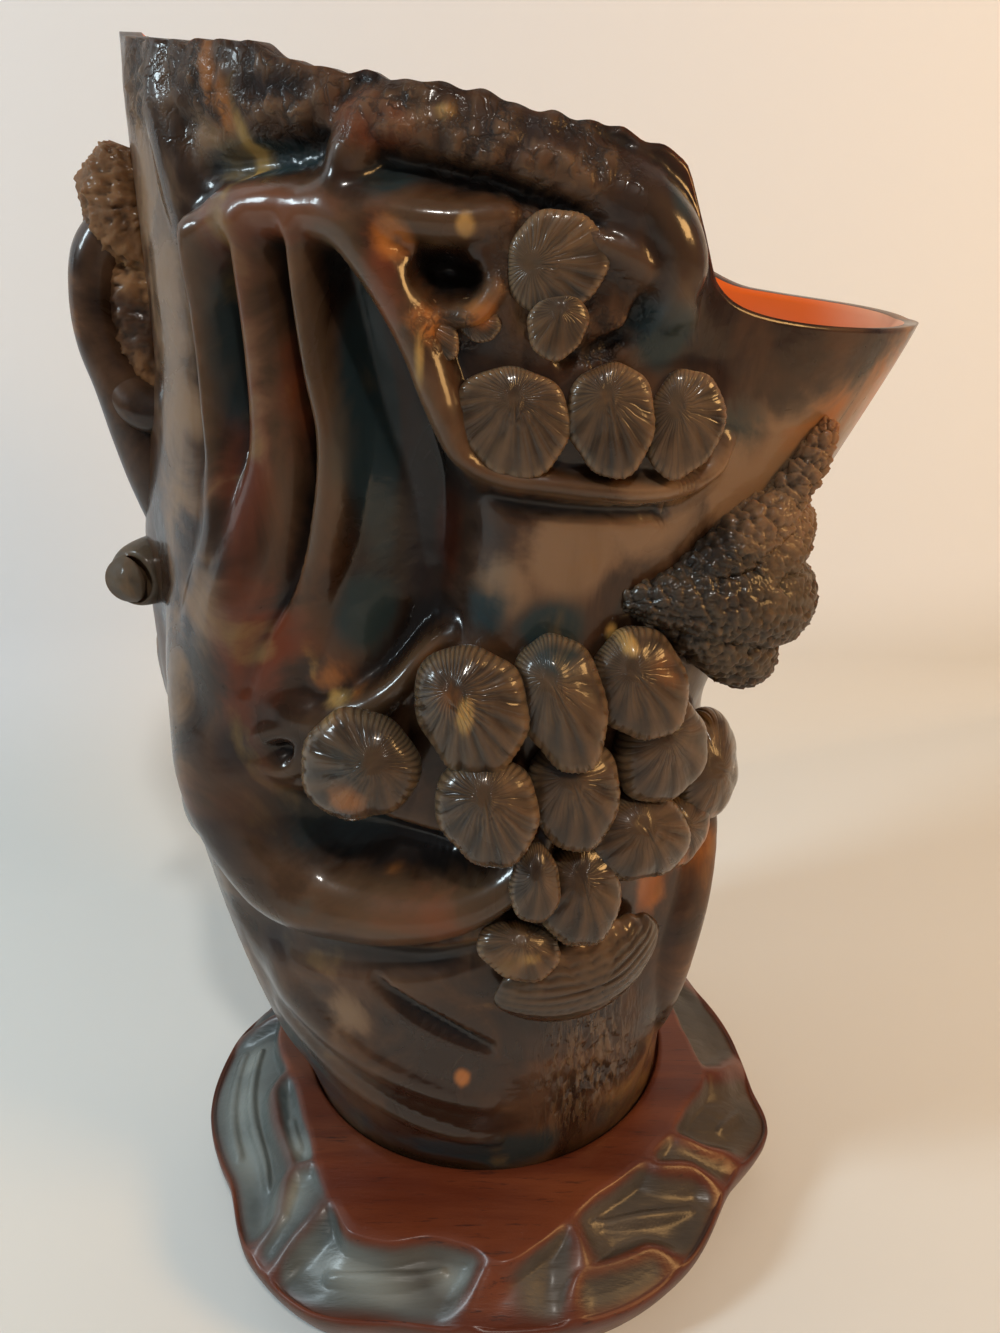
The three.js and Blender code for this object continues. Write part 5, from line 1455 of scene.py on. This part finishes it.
def horn_material(name, base, pale, gloss, bump, grain=60.0, strength=1.0, coat=0.4, carved=False, star=False):
    material = bpy.data.materials.new(name)
    material.use_nodes = True
    tree = material.node_tree
    shader = tree.nodes["Principled BSDF"]
    veins = add(tree, "ShaderNodeGroup", {"node_tree": fibres}, Scale=grain)
    cloud, fibre = veins.outputs["Clouds"], veins.outputs["Fibres"]
    colour = clouded(tree, cloud, fibre, base, pale, strength)
    height = plus(tree, times(tree, fibre, 0.4), veins.outputs["Grain"])
    rough = span(tree, cloud, 0.35, 0.65, gloss, gloss + 0.16)
    low = add(tree, "ShaderNodeSeparateXYZ", Vector=here(tree)).outputs["Z"]
    sheen = plus(tree, span(tree, cloud, 0.62, 0.4, 0.5 * coat, coat), span(tree, low, 0.06, 0.035, 0.0, 0.12))
    if carved:
        locks, cracked = carved_hair(tree), crackle(tree)
        colour = blend(tree, times(tree, locks, 0.5), colour, HAIR_TAN)
        height = plus(tree, plus(tree, height, times(tree, locks, 5.0)), times(tree, cracked, -5.0))
        rough = plus(tree, rough, times(tree, attribute(tree, "rough"), 0.2))
        sheen = times(tree, sheen, span(tree, attribute(tree, "rough"), 0.0, 0.8, 1.0, 0.3))
    if star:
        cuts, hairs, rim = needles(tree)
        colour = blend(tree, rim, colour, RIM_TAN)
        colour = blend(tree, times(tree, cuts, 0.6), colour, GROOVE_BROWN)
        colour = blend(tree, times(tree, hairs, 0.3), colour, NEEDLE_TAN)
        height = plus(tree, height, times(tree, cuts, -1.4))
    # pale where worn, and painted highlights on the pads' rims
    colour = blend(tree, times(tree, attribute(tree, "worn_and_highlight"), 0.7), colour, WORN_AND_HIGHLIGHT_TAN)
    if carved:
        colour = blend(tree, times(tree, cracked, 0.7), colour, CRACK_BLACK)
    colour = blend(tree, span(tree, fibre, 0.52, 0.75, 0.0, 0.35), colour, GROOVE_BROWN)
    dents = add(tree, "ShaderNodeBump", Strength=bump, Distance=0.0003, Height=height).outputs[0]
    for label, value in (("Base Color", colour), ("Roughness", rough), ("Coat Weight", sheen),
                         ("Normal", dents), ("Coat Normal", dents), ("Specular IOR Level", 0.14),
                         ("Coat Roughness", COAT_ROUGHNESS), ("Subsurface Weight", 0.15),
                         ("Subsurface Radius", THROUGH_HORN), ("Subsurface Scale", 1.0)):
        set_or_link(tree, shader.inputs[label], value)
    return material


# %% [markdown]
# ### Four kinds of horn
#
# The vessel and the curl are polished. The pads are browner, with needles, the scaled bough and the
# stub are duller, and the raw bark inside the curl is the roughest and palest.

# %% Four kinds of horn
polished = horn_material("polished_horn", (0.021, 0.009, 0.004, 1), (0.084, 0.040, 0.020, 1), 0.26, 0.22,
                         coat=0.5, carved=True)
needled = horn_material("needled_horn", (0.031, 0.0185, 0.0105, 1), (0.088, 0.053, 0.029, 1), 0.26, 0.35,
                        grain=120.0, strength=0.9, coat=0.6, star=True)
barky = horn_material("bark_horn", (0.032, 0.022, 0.015, 1), (0.095, 0.066, 0.040, 1), 0.4, 0.6,
                      grain=140.0, strength=0.8)
raw = horn_material("raw_bark", (0.055, 0.024, 0.011, 1), (0.230, 0.110, 0.045, 1), 0.5, 0.8,
                    grain=200.0, strength=0.5, coat=0.2)
for material in (polished, needled, barky, raw):
    print(material.name, len(material.node_tree.nodes), "nodes")

# %% [markdown]
# ### The inside of the horn
#
# Light comes through the thin wall of the spout, so the lining is strong orange there, paler at the
# lip and dark towards the bottom.

# %% The lining
lining = bpy.data.materials.new("horn_lining")
lining.use_nodes = True
tree = lining.node_tree
shader = tree.nodes["Principled BSDF"]
veins = add(tree, "ShaderNodeGroup", {"node_tree": fibres}, Scale=50.0)
split = add(tree, "ShaderNodeSeparateXYZ", Vector=here(tree))
near_lip = span(tree, split.outputs["X"], 0.045, 0.058)
glow = blend(tree, span(tree, split.outputs["Z"], 0.06, 0.13), (0.10, 0.016, 0.004, 1), (0.66, 0.105, 0.006, 1))
glow = blend(tree, near_lip, glow, (0.66, 0.42, 0.28, 1))
glow = blend(tree, span(tree, veins.outputs["Clouds"], 0.5, 0.72, 0.0, 0.5), glow, (0.3, 0.06, 0.012, 1))
for label, value in (("Base Color", glow), ("Roughness", 0.45), ("Specular IOR Level", 0.2), ("Coat Weight", 0.1),
                     ("Coat Roughness", 0.15)):
    set_or_link(tree, shader.inputs[label], value)
print("lining:", len(tree.nodes), "nodes")

# %% [markdown]
# ### Which piece gets which finish
#
# The outside of the vessel is polished horn and its inside takes the lining, from the lip's inner
# edge on.

# %% Give each piece its finish
FINISHES = {pot: polished, curl: polished, stub: barky, scaled: barky, core: raw, knob: raw, leaf: needled}
for piece, material in [*FINISHES.items()] + [(piece, needled) for piece in PADS]:
    piece.data.materials.append(material)

pot.data.materials.append(lining)
loops = np.empty(len(pot.data.loops), int)
pot.data.loops.foreach_get("vertex_index", loops)
starts = np.empty(len(pot.data.polygons), int)
pot.data.polygons.foreach_get("loop_start", starts)
within = np.minimum.reduceat((over >= 2)[loops].astype(int), starts)
pot.data.polygons.foreach_set("material_index", within)
print("lined faces:", int(within.sum()))

# %% [markdown]
# ## The finish of the stand
#
# The top is polished red-brown hardwood with fine dark pores that run with the grain. The scoops
# hold an old, dark, greenish patina, its hue partly painted window light, and handling has rubbed the
# ridges between them back to brown.

# %% Hardwood
wood = bpy.data.materials.new("polished_hardwood")
wood.use_nodes = True
tree = wood.node_tree
place = here(tree)
lay = add(tree, "ShaderNodeMapping", Vector=place, Scale=(1.0, 9.0, 9.0), Rotation=(0, 0, 0.2)).outputs[0]
pores = add(tree, "ShaderNodeTexNoise", Vector=lay, Scale=160.0, Detail=4.0, Roughness=0.7).outputs["Fac"]
bands = add(tree, "ShaderNodeTexNoise", Vector=lay, Scale=14.0, Detail=4.0, Roughness=0.55, Distortion=0.5)
banded = span(tree, bands.outputs["Fac"], 0.35, 0.65)
colour = blend(tree, banded, (0.078, 0.015, 0.005, 1), (0.135, 0.033, 0.011, 1))
colour = blend(tree, span(tree, pores, 0.56, 0.7, 0.0, 0.8), colour, (0.03, 0.008, 0.005, 1))

# %% [markdown]
# ### Patina
#
# In the scoops the patina is grey-green at the left, browner to the right and darker at the back. The
# shift from left to right is partly the patina's own and partly painted light: the cool window's tint
# at the left and the warm lamp's at the right. It is mottled, and paler where the pale mark is, which
# is partly a painted reflection of the window. Its own edge is broken up by the same mottling.

# %% Patina over the wood
mottle = add(tree, "ShaderNodeTexNoise", Vector=place, Scale=90.0, Detail=4.0).outputs["Fac"]
split = add(tree, "ShaderNodeSeparateXYZ", Vector=place)
across, back = split.outputs["X"], split.outputs["Y"]
# partly patina, partly painted light: cool window tint at the left, warm lamp tint at the right
patina_and_lamp_tint = blend(tree, span(tree, across, -0.03, 0.005), (0.078, 0.092, 0.088, 1), (0.078, 0.062, 0.047, 1))
patina_and_lamp_tint = blend(tree, span(tree, across, 0.0, 0.045), patina_and_lamp_tint, (0.060, 0.040, 0.024, 1))
patina_and_lamp_tint = blend(tree, span(tree, back, -0.01, 0.02), patina_and_lamp_tint, (0.034, 0.032, 0.027, 1))
darker = blend(tree, 0.65, patina_and_lamp_tint, (0.022, 0.018, 0.014, 1))
patina = blend(tree, span(tree, mottle, 0.35, 0.65), patina_and_lamp_tint, darker)
# partly paler patina, partly a painted reflection of the window
patina = blend(tree, times(tree, attribute(tree, "pale"), 0.8), patina, (0.21, 0.225, 0.205, 1))
in_scoop = attribute(tree, "scooped")
under = blend(tree, in_scoop, colour, (0.040, 0.014, 0.008, 1))
covered = span(tree, plus(tree, in_scoop, span(tree, mottle, 0.3, 0.7, -0.15, 0.15)), 0.1, 0.9)
colour = blend(tree, covered, under, patina)

scraped = add(tree, "ShaderNodeTexNoise", Vector=lay, Scale=60.0, Detail=3.0).outputs["Fac"]
depth = plus(tree, pores, times(tree, times(tree, scraped, in_scoop), 5.0))
dents = add(tree, "ShaderNodeBump", Strength=0.3, Distance=0.0002, Height=depth).outputs[0]
gloss = span(tree, mottle, 0.3, 0.7, 0.34, 0.5)
for label, value in (("Base Color", colour), ("Roughness", gloss), ("Normal", dents), ("Coat Weight", 0.12),
                     ("Coat Roughness", 0.2), ("Specular IOR Level", 0.35)):
    set_or_link(tree, tree.nodes["Principled BSDF"].inputs[label], value)
slab.data.materials.append(wood)
print("wood:", len(tree.nodes), "nodes")

# %% [markdown]
# ## Floor, wall and light
#
# The floor and the wall behind are pale paper, warm on the side of the lamp. A cool window stands
# to the left and in front, and gives the long thin highlights on the trunk; a warm lamp at the right
# lights the spout and the discs.

# %% Floor and wall
FLOOR_ENDS, WALL_STARTS = 0.3, 0.7          # shares of the sheet's length
NEAR_END, WALL_TOP = -2, 1.5                # metres in front of the cup, and up
FLOOR_GREY, WALL_GREY = (0.69, 0.69, 0.665, 1), (0.83, 0.86, 0.90, 1)


def sheet_point(x, t):
    """A point of the sheet: along the floor, round the bend and up the wall, as t goes from 0 to 1."""
    bend = 0.035 - 0.02 * max(-1, min(1, x / 0.15))
    foot = 0.127 + 0.22 * max(-0.6, min(0.6, x))
    if t < FLOOR_ENDS:
        return Vector((x, NEAR_END + (foot - bend - NEAR_END) * t / FLOOR_ENDS, 0))
    if t < WALL_STARTS:
        turn = (t - FLOOR_ENDS) / (WALL_STARTS - FLOOR_ENDS) * math.pi / 2
        return Vector((x, foot - bend + bend * math.sin(turn), bend - bend * math.cos(turn)))
    return Vector((x, foot, bend + WALL_TOP * (t - WALL_STARTS) / (1 - WALL_STARTS)))


sheet = bmesh.new()
bmesh.ops.create_grid(sheet, x_segments=80, y_segments=60, size=1)
for v in sheet.verts:
    v.co = sheet_point(2 * v.co.x, 0.5 + 0.5 * v.co.y)
piece = to_piece(sheet, "paper_backdrop")
piece.data.shade_smooth()
print("backdrop:", len(piece.data.polygons), "faces")

# %% [markdown]
# ### Paper
#
# The sheet is only seen from its front, so that the object can be looked at from behind it too.

# %% Paper
paper = bpy.data.materials.new("paper_backdrop")
paper.use_nodes = True
tree = paper.node_tree
shader = tree.nodes["Principled BSDF"]
up = add(tree, "ShaderNodeSeparateXYZ", Vector=here(tree)).outputs["Z"]
shade = blend(tree, span(tree, up, 0.0, 0.05), FLOOR_GREY, WALL_GREY)
for label, value in (("Base Color", shade), ("Roughness", 0.95), ("Specular IOR Level", 0.1)):
    set_or_link(tree, shader.inputs[label], value)
behind = add(tree, "ShaderNodeNewGeometry").outputs["Backfacing"]
clear = add(tree, "ShaderNodeBsdfTransparent").outputs[0]
seen = add(tree, "ShaderNodeMixShader", i0=behind, i1=shader.outputs[0], i2=clear)
tree.links.new(seen.outputs[0], tree.nodes["Material Output"].inputs["Surface"])
piece.data.materials.append(paper)

# %% [markdown]
# ### Three lamps
#
# The window is cool and narrow, the warm lamp stands at the right, and a small room lamp overhead
# gives the crisp points of light on the discs.

# %% Lamps and room
def lamp(name, location, aim, size, power, colour):
    data = bpy.data.lights.new(name, "AREA")
    data.shape = "RECTANGLE"
    data.size, data.size_y = size
    data.energy = power
    data.color = colour
    made = bpy.data.objects.new(name, data)
    made.location = location
    made.rotation_euler = (Vector(aim) - Vector(location)).to_track_quat("-Z", "Y").to_euler()
    bpy.context.scene.collection.objects.link(made)
    print(name, "%.2f m from the cup" % Vector(location).length)


lamp("window", (-0.52, -0.20, 0.40), (0, 0, 0.08), (0.09, 0.16), 2.1, (0.76, 0.92, 1.0))
lamp("warm_lamp", (0.40, -0.16, 0.30), (0.12, 0.0, 0.0), (0.14, 0.14), 1.3, (1.0, 0.56, 0.2))
lamp("room_lamp", (0.10, -0.42, 0.62), (0, 0.1, 0.1), (0.04, 0.04), 1.5, (1.0, 0.95, 0.88))
world = bpy.data.worlds.new("room")
world.use_nodes = True
room = world.node_tree.nodes["Background"]
room.inputs["Color"].default_value = (0.95, 0.97, 1.0, 1)
room.inputs["Strength"].default_value = 0.15
bpy.context.scene.world = world
